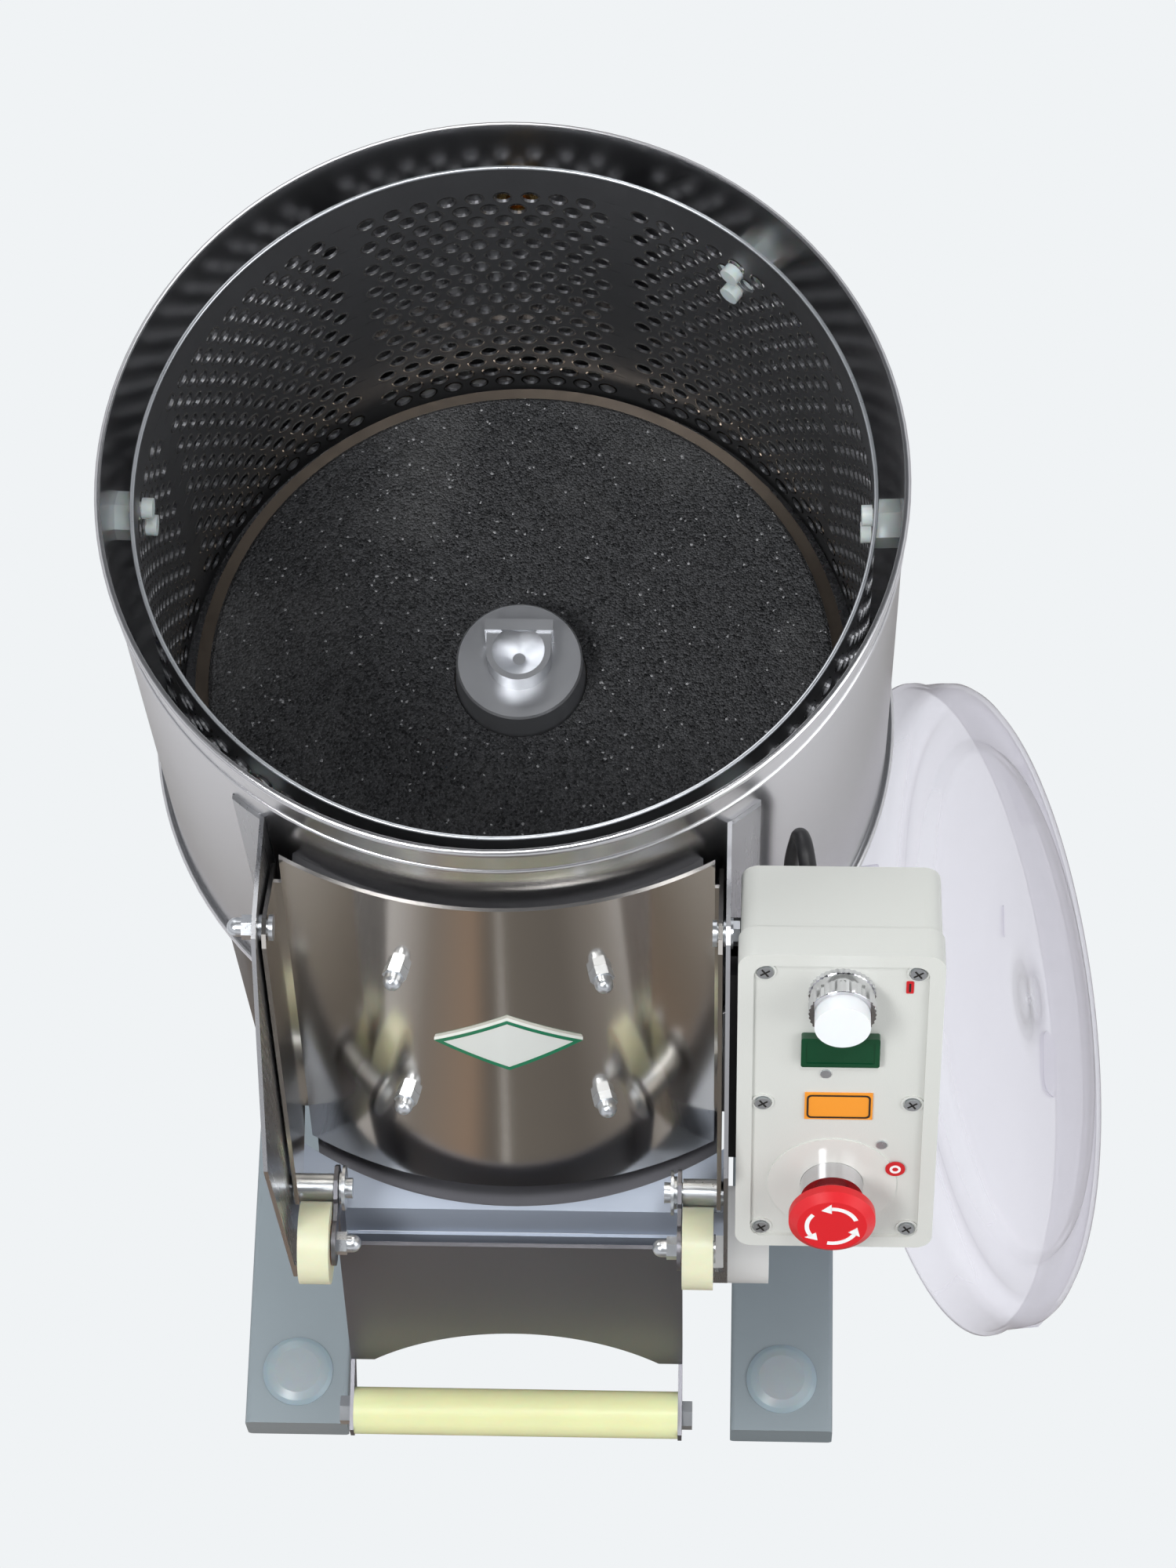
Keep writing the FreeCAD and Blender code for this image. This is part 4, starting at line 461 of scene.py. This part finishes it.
def rounded_outline(centre, width, height, radius, each=5):
    """A rectangle with round corners."""
    points = []
    for turn, (sx, sy) in enumerate(((1, 1), (-1, 1), (-1, -1), (1, -1))):
        corner = (centre[0] + sx * (width / 2 - radius), centre[1] + sy * (height / 2 - radius))
        points += arc_points(corner, radius, 90 * turn, 90 * turn + 90, each)
    return points


def plate(name, outline, low, high, placed, body, look):
    """A thin plate with a plain outline."""
    count = len(outline)
    points = [placed(*p, level) for level in (low, high) for p in outline]
    faces = [tuple(range(count, 2 * count)), tuple(reversed(range(count)))]
    faces += [(i, (i + 1) % count, count + (i + 1) % count, count + i) for i in range(count)]
    return piece(name, points, faces, body, look, False)


def make_liner():
    """The liner sheet with staggered rows of punched holes and sparse seams between its panels."""
    columns, rows, pitch = 80, 18, 11.1
    spokes = 16
    hole, lip, foot = 4.1, 4.5, 5.0
    lip_rise, edge_rise, hole_depth = 0.45, 0.35, 1.1
    plain_band = 6.0
    opening_border = 7.0
    seam_angles = (72, 118, 164, 208, 332, 26)
    turn = 2 * math.pi / columns
    seam_reach = 0.6 * turn
    seams = [math.radians(a) for a in seam_angles]
    rings = ((foot, 0.0), (lip, lip_rise), (hole, edge_rise), (hole, -hole_depth))
    start = LINER_LOW + plain_band
    points, faces, raised = [], [], []

    def place(angle, level, inward):
        """Adds a point and gives its number."""
        points.append((*about(AXIS, LINER_INNER - inward, angle), level))
        return len(points) - 1

    def opened(angle, level, margin):
        """Whether a cell lies in the discharge opening or within a margin of it."""
        side = abs(LINER_INNER * math.cos(angle))
        return math.sin(angle) < 0 and side < OPENING_HALF + margin and (
            OPENING_LOW - margin < level < OPENING_HIGH + margin)

    def plain(angle, column):
        """Whether a cell beside a seam is left without its hole."""
        near = any(abs(math.remainder(angle - seam, 2 * math.pi)) < seam_reach for seam in seams)
        return near and column % 2 == 0

    def quad(angle, level, wide, tall):
        """A flat patch of the sheet."""
        corners = [place(angle + sx * wide / 2, level + sz * tall / 2, 0.0)
                   for sx, sz in ((-1, -1), (1, -1), (1, 1), (-1, 1))]
        faces.append(tuple(reversed(corners)))

    def cell(angle, level):
        """A patch of the sheet with one punched hole and its raised lip."""
        edge = []
        for k in range(spokes):
            a = 2 * math.pi * k / spokes
            c, s = math.cos(a), math.sin(a)
            reach = 1 / max(abs(c), abs(s))
            edge.append(place(angle + c * reach * turn / 2, level + s * reach * pitch / 2, 0.0))
        before = edge
        for radius, inward in rings:
            ring = [place(angle + radius * math.cos(2 * math.pi * k / spokes) / LINER_INNER,
                          level + radius * math.sin(2 * math.pi * k / spokes), inward)
                    for k in range(spokes)]
            for k in range(spokes):
                n = (k + 1) % spokes
                if inward > 0:
                    raised.append(len(faces))
                faces.append((before[k], ring[k], ring[n], before[n]))
            before = ring

    for row in range(rows):
        level = start + (row + 0.5) * pitch
        for column in range(columns):
            angle = (column + 0.5 * (row % 2)) * turn
            if opened(angle, level, 0.0):
                continue
            if opened(angle, level, opening_border) or plain(angle, column):
                quad(angle, level, turn, pitch)
            else:
                cell(angle, level)
    top = start + rows * pitch
    for low, high in ((LINER_LOW, start), (top, LINER_HIGH)):
        for column in range(2 * columns):
            quad((column + 0.5) * turn / 2, (low + high) / 2, turn / 2, high - low)
    sheet = piece("liner_sheet", points, faces, "frame", "liner_steel", False)
    # The raised lips round the holes take the lighter steel: a painted highlight on the same sheet.
    sheet.data.materials.append(MATERIALS["lip_highlight_steel"])
    for index in raised:
        sheet.data.polygons[index].material_index = 1
        sheet.data.polygons[index].use_smooth = True
    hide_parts("perforated_liner")
    wire, inset, drop = 1.1, 0.6, 0.8
    edge_ring("liner_rim", LINER_OUTER - inset, LINER_HIGH - drop, wire, "zinc")


def edge_ring(name, radius, level, section, look):
    """A round wire edge about the vessel's axis."""
    around, across = 144, 8
    points = []
    for i in range(around):
        a = 2 * math.pi * i / around
        for k in range(across):
            b = 2 * math.pi * k / across
            points.append((*about(AXIS, radius + section * math.cos(b), a), level + section * math.sin(b)))
    faces = [(i * across + k, ((i + 1) % around) * across + k,
              ((i + 1) % around) * across + (k + 1) % across, i * across + (k + 1) % across)
             for i in range(around) for k in range(across)]
    return piece(name, points, faces, "frame", look, True)


def spun(name, profile, body, look):
    """A shape turned about the lid's axis from a closed outline of radius and height."""
    around = 144
    turns = [2 * math.pi * i / around for i in range(around)]
    points = [on_lid(*about(AXIS, r, turn), z) for r, z in profile for turn in turns]
    count = len(profile)
    faces = [(k * around + i, ((k + 1) % count) * around + i, ((k + 1) % count) * around + (i + 1) % around,
              k * around + (i + 1) % around) for k in range(count) for i in range(around)]
    return piece(name, points, faces, body, look, True)


def make_lid():
    """The clear lid: a low dome, a step, a broad shoulder and a skirt with a rolled foot."""
    edge = LID_RADIUS
    outer = ((0.5, 19.4), (40, 19.0), (78, 17.6), (112, 15.4), (130, 13.2), (138, 12.0), (142, 10.4),
             (145.5, 5.6), (148, 4.2), (160, 3.4), (165, 4.4), (168, 5.2), (173, 4.4), (edge - 6, 1.6),
             (edge - 4, -1.2), (edge - 3, -8), (edge - 2.4, 4 - LID_SKIRT), (edge - 0.6, 2.6 - LID_SKIRT),
             (edge - 0.4, 0.2 - LID_SKIRT))
    wall = 2.2
    foot_roll = 0.6
    least = 0.4
    step_start, skirt_start = 141, edge - 3.5
    inner = [(max(r - (wall if r > step_start else 0), least), z - (wall if r < skirt_start else 0))
             for r, z in outer[:-1]]
    inner.append((outer[-1][0] - wall - foot_roll, outer[-1][1]))
    lid = spun("lid_shell", list(outer) + inner[::-1], "lid_body", "lid_clear")
    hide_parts("lid")
    lug_in, lug_out, lug_half = edge - 2.8, edge - 1.0, 7
    lug_low, lug_high = -19.0, -4.5
    corners = ((lug_in, -lug_half), (lug_out, -lug_half), (lug_out, lug_half), (lug_in, lug_half))
    for i, angle in enumerate((62, 182, 302)):
        lug = [about(AXIS, r, math.radians(angle + a)) for r, a in corners]
        plate("lid_lug_%d" % i, lug, lug_low, lug_high, on_lid, "lid_body", "lid_clear")
    grip_place, gate_place = (32, -28), (-44, 30)
    grip = rounded_outline(grip_place, 24, 36, 9)
    plate("lid_grip", grip, 17.0, 19.4, on_lid, "lid_body", "lid_clear")
    gate = rounded_outline(gate_place, 2.4, 18, 1)
    plate("lid_gate", gate, 17.2, 19.0, on_lid, "lid_body", "lid_clear")


def make_panel_prints():
    """The legend ring, the label's thin frame and the generic marks by the two buttons."""
    top = PANEL_LEVEL
    raised = top + PLATE_HEIGHT
    frame_height, mark_height, line_height = 0.3, 0.5, 0.2
    legend_outer, legend_inner = 30, 14.6
    strip("legend_ring", ring_points(STOP, legend_outer), ring_points(STOP, legend_inner), top, raised,
          on_box, "frame", "legend_clear")
    outside = rounded_outline(LABEL, 29.0, 15.0, 2.2)
    inside = rounded_outline(LABEL, 27.4, 13.4, 1.6)
    strip("label_frame", outside, inside, raised, raised + frame_height, on_box, "frame", "ink_black")
    beside_start = (START[0] + 30.0, START[1] + 4.0)
    bar_top = top + mark_height
    bar = rounded_outline(beside_start, 3.4, 7.4, 0.6)
    plate("mark_on", bar, top, bar_top, on_box, "frame", "mark_red")
    line = rounded_outline(beside_start, 0.9, 5.2, 0.3)
    plate("mark_on_line", line, bar_top, bar_top + line_height, on_box, "frame", "ink_black")
    beside_stop = (STOP[0] + 29.0, STOP[1] + 11.0)
    spot_radius, ring_outer, ring_inner, steps = 4.6, 2.6, 1.4, 32
    spot_top = raised + mark_height
    spot = ring_points(beside_stop, spot_radius, steps)
    plate("mark_off", spot, raised, spot_top, on_box, "frame", "mark_red")
    outside = ring_points(beside_stop, ring_outer, steps)
    inside = ring_points(beside_stop, ring_inner, steps)
    strip("mark_off_ring", outside, inside, spot_top, spot_top + line_height, on_box, "frame",
          "mark_white")


def make_lens_frame():
    """The raised frame of the green lens."""
    height = 3.9
    outside = rounded_outline(LENS, 35.5, 18.4, 1.2)
    inside = rounded_outline(LENS, 31.0, 13.6, 0.6)
    strip("lens_frame", outside, inside, PANEL_LEVEL, PANEL_LEVEL + height, on_box, "frame", "lens_green")


def make_screw_details():
    """The cross slot in each cover screw and the raised well round it."""
    inset = 11.0
    slot_half, slot_half_width = 2.6, 0.45
    slot_low, slot_high = PANEL_LEVEL + 1.6, PANEL_LEVEL + 1.66
    well_outer, well_inner, steps = 5.2, 4.2, 32
    well_top = PANEL_LEVEL + 0.7
    bar = [Vector((sx * slot_half, sy * slot_half_width))
           for sx, sy in ((-1, -1), (1, -1), (1, 1), (-1, 1))]
    for i, x in enumerate((inset, BOX_WIDTH - inset)):
        for k, y in enumerate((-inset, -BOX_LENGTH / 2, inset - BOX_LENGTH)):
            for turn in (35, 125):
                outline = [tuple(Matrix.Rotation(math.radians(turn), 2) @ p + Vector((x, y))) for p in bar]
                plate("screw_cross_%d_%d_%d" % (i, k, turn), outline, slot_low, slot_high, on_box, "frame",
                      "ink_black")
            strip("screw_well_%d_%d" % (i, k), ring_points((x, y), well_outer, steps),
                  ring_points((x, y), well_inner, steps), PANEL_LEVEL, well_top, on_box, "frame",
                  "box_plastic")


def make_start_ridges():
    """The two ribbed rings of the start button's bezel."""
    ridges, middle, depth, bore = 72, 14.9, 0.3, 14.45
    outline = [about(START, middle + depth * (-1) ** i, 2 * math.pi * i / ridges) for i in range(ridges)]
    inside = ring_points(START, bore, ridges)
    for name, low, high in (("start_knurl", 7.0, 13.8), ("start_foot", 0.0, 2.4)):
        strip(name, outline, inside, PANEL_LEVEL + low, PANEL_LEVEL + high, on_box, "frame", "chrome")


def make_stop_arrows():
    """Three turning arrows on top of the stop button."""
    print_height = 0.25
    low = PANEL_LEVEL + STOP_TOP
    high = low + print_height
    outer, inner, sweep, steps = 12.6, 10.6, 74, 14
    head_outer, head_inner, head_middle = 14.6, 8.6, 11.6
    root_at, tip_at = 72, 96
    for i in range(3):
        start = 20 + 120 * i
        end = start + sweep
        strip("stop_arrow_%d" % i, arc_points(STOP, outer, start, end, steps),
              arc_points(STOP, inner, start, end, steps), low, high, on_box, "estop_knob", "mark_white",
              False)
        root, tip = math.radians(start + root_at), math.radians(start + tip_at)
        head = [about(STOP, r, a) for r, a in ((head_inner, root), (head_outer, root), (head_middle, tip))]
        plate("stop_arrow_head_%d" % i, head, low, high, on_box, "estop_knob", "mark_white")


def make_badge():
    """A green border round the plain diamond badge."""
    outer_share, inner_share, print_height, steps = 0.99, 0.87, 0.25, 8

    def diamond(share):
        """The badge's outline at a share of its size."""
        across, along = BADGE_HALF * share, BADGE_RISE * share
        corners = [(BADGE_SIDE - across, BADGE_DROP), (BADGE_SIDE, BADGE_DROP - along),
                   (BADGE_SIDE + across, BADGE_DROP), (BADGE_SIDE, BADGE_DROP + along)]
        points = []
        for a, b in zip(corners, corners[1:] + corners[:1]):
            points += [(a[0] + (b[0] - a[0]) * k / steps, a[1] + (b[1] - a[1]) * k / steps)
                       for k in range(steps)]
        return points

    strip("badge_border", diamond(outer_share), diamond(inner_share), BADGE_WALL,
          BADGE_WALL + print_height, on_door, "door", "badge_green")


def upright(x, y, z):
    """A place in the frame's own axes."""
    return Vector((x, y, z))


def sideways(y, z, x):
    """A place in the frame's own axes, for an outline drawn from the side."""
    return Vector((x, y, z))


def make_wall_weld():
    """The weld down the back of the vessel wall."""
    middle, half = math.radians(91.5), 0.006
    face, root = 186.1, 184.9
    low, high = 432.0, 712.0
    outline = [about(AXIS, r, middle + side * half)
               for r, side in ((face, -1), (face, 1), (root, 1), (root, -1))]
    plate("wall_weld_0", outline, low, high, upright, "frame", "sheet_steel")


def make_chute():
    """A dark plate behind the chute floor's curved edge that stands in for the shade there, and the lip
    below its front fold.
    """
    bed = [(-CHUTE_HALF, CHUTE_BACK), (CHUTE_HALF, CHUTE_BACK)]
    step = 8
    across = range(CHUTE_HALF, -CHUTE_HALF - 1, -step)
    bed += [(x, CHUTE_AXIS - math.sqrt(PANEL_RADIUS ** 2 - x * x)) for x in across]
    # This plate is painted shade: a darker steel set where the gap behind the chute floor lies in shade.
    plate("chute_shade_bed", bed, CHUTE_LEVEL, CHUTE_LEVEL + CHUTE_SHEET, upright, "frame", "lever_steel")
    top_y, top_z = -262.2, 397.2
    foot_y, foot_z = -268.2, 378.0
    lip_half = 82.0
    lip = [(top_y, top_z), (top_y - CHUTE_SHEET, top_z), (foot_y - CHUTE_SHEET, foot_z), (foot_y, foot_z)]
    plate("chute_lip", lip, -lip_half, lip_half, sideways, "frame", "floor_steel")


def make_floor():
    """A floor that the camera sees plain and pale, and that metal reflects as a dim one with soft bands."""
    mesh = bpy.data.meshes.new("studio_floor")
    reach = 6.0
    mesh.from_pydata([(-reach, -reach, 0), (reach, -reach, 0), (reach, reach, 0), (-reach, reach, 0)], [],
                     [(0, 1, 2, 3)])
    floor = bpy.data.objects.new("studio_floor", mesh)
    bpy.context.scene.collection.objects.link(floor)
    made = bpy.data.materials.new("studio_floor")
    made.use_nodes = True
    tree = made.node_tree
    shader = tree.nodes["Principled BSDF"]
    shader.inputs["Roughness"].default_value = 0.9
    place = tree.nodes.new("ShaderNodeTexCoord")
    apart = tree.nodes.new("ShaderNodeSeparateXYZ")
    link(tree, place.outputs["Object"], apart.inputs[0])
    bands_per_metre = 0.625
    side = math_node(tree, "MULTIPLY_ADD", apart.outputs[0], bands_per_metre, 0.5)
    ramp = colour_ramp(tree, (
        (0.2, paint(238, 238, 240)), (0.34, paint(128, 120, 112)), (0.42, paint(150, 128, 110)),
        (0.45, paint(100, 93, 86)), (0.468, paint(104, 97, 90)), (0.476, paint(205, 203, 200)),
        (0.484, paint(112, 106, 99)), (0.6, paint(104, 98, 92)), (0.68, paint(140, 134, 128)),
        (0.8, paint(238, 238, 240))))
    link(tree, side, ramp.inputs[0])
    link(tree, ramp.outputs[0], shader.inputs["Base Color"])
    seen = tree.nodes.new("ShaderNodeLightPath")
    direct = math_node(tree, "MAXIMUM", seen.outputs["Is Camera Ray"], seen.outputs["Is Transmission Ray"])
    glow = tree.nodes.new("ShaderNodeEmission")
    glow.inputs["Color"].default_value = PALE
    blend = tree.nodes.new("ShaderNodeMixShader")
    link(tree, direct, blend.inputs[0])
    link(tree, shader.outputs[0], blend.inputs[1])
    link(tree, glow.outputs[0], blend.inputs[2])
    link(tree, blend.outputs[0], tree.nodes["Material Output"].inputs[0])
    mesh.materials.append(made)


def make_world():
    """Bright near the horizon and dim overhead, but pale where the camera sees it."""
    world = bpy.data.worlds.new("studio_world")
    bpy.context.scene.world = world
    world.use_nodes = True
    tree = world.node_tree
    place = tree.nodes.new("ShaderNodeTexCoord")
    apart = tree.nodes.new("ShaderNodeSeparateXYZ")
    link(tree, place.outputs["Generated"], apart.inputs[0])
    ramp = colour_ramp(tree, ((0.0, paint(236, 236, 238)), (0.28, paint(225, 226, 230)),
                              (0.6, paint(96, 98, 102)), (1.0, paint(72, 73, 76))))
    link(tree, math_node(tree, "MAXIMUM", apart.outputs[2], 0.0), ramp.inputs[0])
    seen = tree.nodes.new("ShaderNodeLightPath")
    shown = mix_colours(tree, seen.outputs["Is Camera Ray"], ramp.outputs[0], PALE)
    link(tree, shown, tree.nodes["Background"].inputs["Color"])
    bpy.context.scene.view_settings.view_transform = "Standard"


def make_lights():
    """Soft lights aimed at the vessel, each with its place, width and power."""
    lights = {"key_light": ((-0.9, -1.2, 2.6), 0.7, 34), "fill_light": ((1.6, -0.8, 1.6), 1.4, 16),
              "back_light": ((-0.6, 1.8, 1.9), 1.4, 14), "top_light": ((0.3, -0.5, 2.9), 0.5, 16)}
    vessel = Vector((0, -0.1, 0.5))
    for name, (place, width, power) in lights.items():
        light = bpy.data.lights.new(name, "AREA")
        light.size = width
        light.energy = power
        lamp = bpy.data.objects.new(name, light)
        lamp.location = place
        lamp.rotation_euler = (vessel - Vector(place)).to_track_quat("-Z", "Y").to_euler()
        bpy.context.scene.collection.objects.link(lamp)


def make_camera():
    """The photograph's view."""
    pitch, yaw, roll = (math.radians(v) for v in (CAMERA_PITCH, CAMERA_YAW, CAMERA_ROLL))
    ahead = Vector((math.sin(yaw) * math.cos(pitch), math.cos(yaw) * math.cos(pitch), -math.sin(pitch)))
    level = Vector((math.cos(yaw), -math.sin(yaw), 0))
    upward = level.cross(ahead)
    across = math.cos(roll) * level + math.sin(roll) * upward
    above = -math.sin(roll) * level + math.cos(roll) * upward
    turn = Matrix((across, above, -ahead)).transposed()
    data = bpy.data.cameras.new("camera")
    data.sensor_fit = "HORIZONTAL"
    data.sensor_width = 36.0
    data.lens = CAMERA_LENS
    data.clip_end = 50.0
    camera = bpy.data.objects.new("camera", data)
    camera.matrix_world = Matrix.Translation(CAMERA_PLACE) @ turn.to_4x4()
    bpy.context.scene.collection.objects.link(camera)
    bpy.context.scene.camera = camera


make_camera()
make_floor()
make_world()
make_lights()
dress_frame()
make_liner()
make_lid()
make_panel_prints()
make_lens_frame()
make_screw_details()
make_start_ridges()
make_stop_arrows()
make_badge()
make_wall_weld()
make_chute()
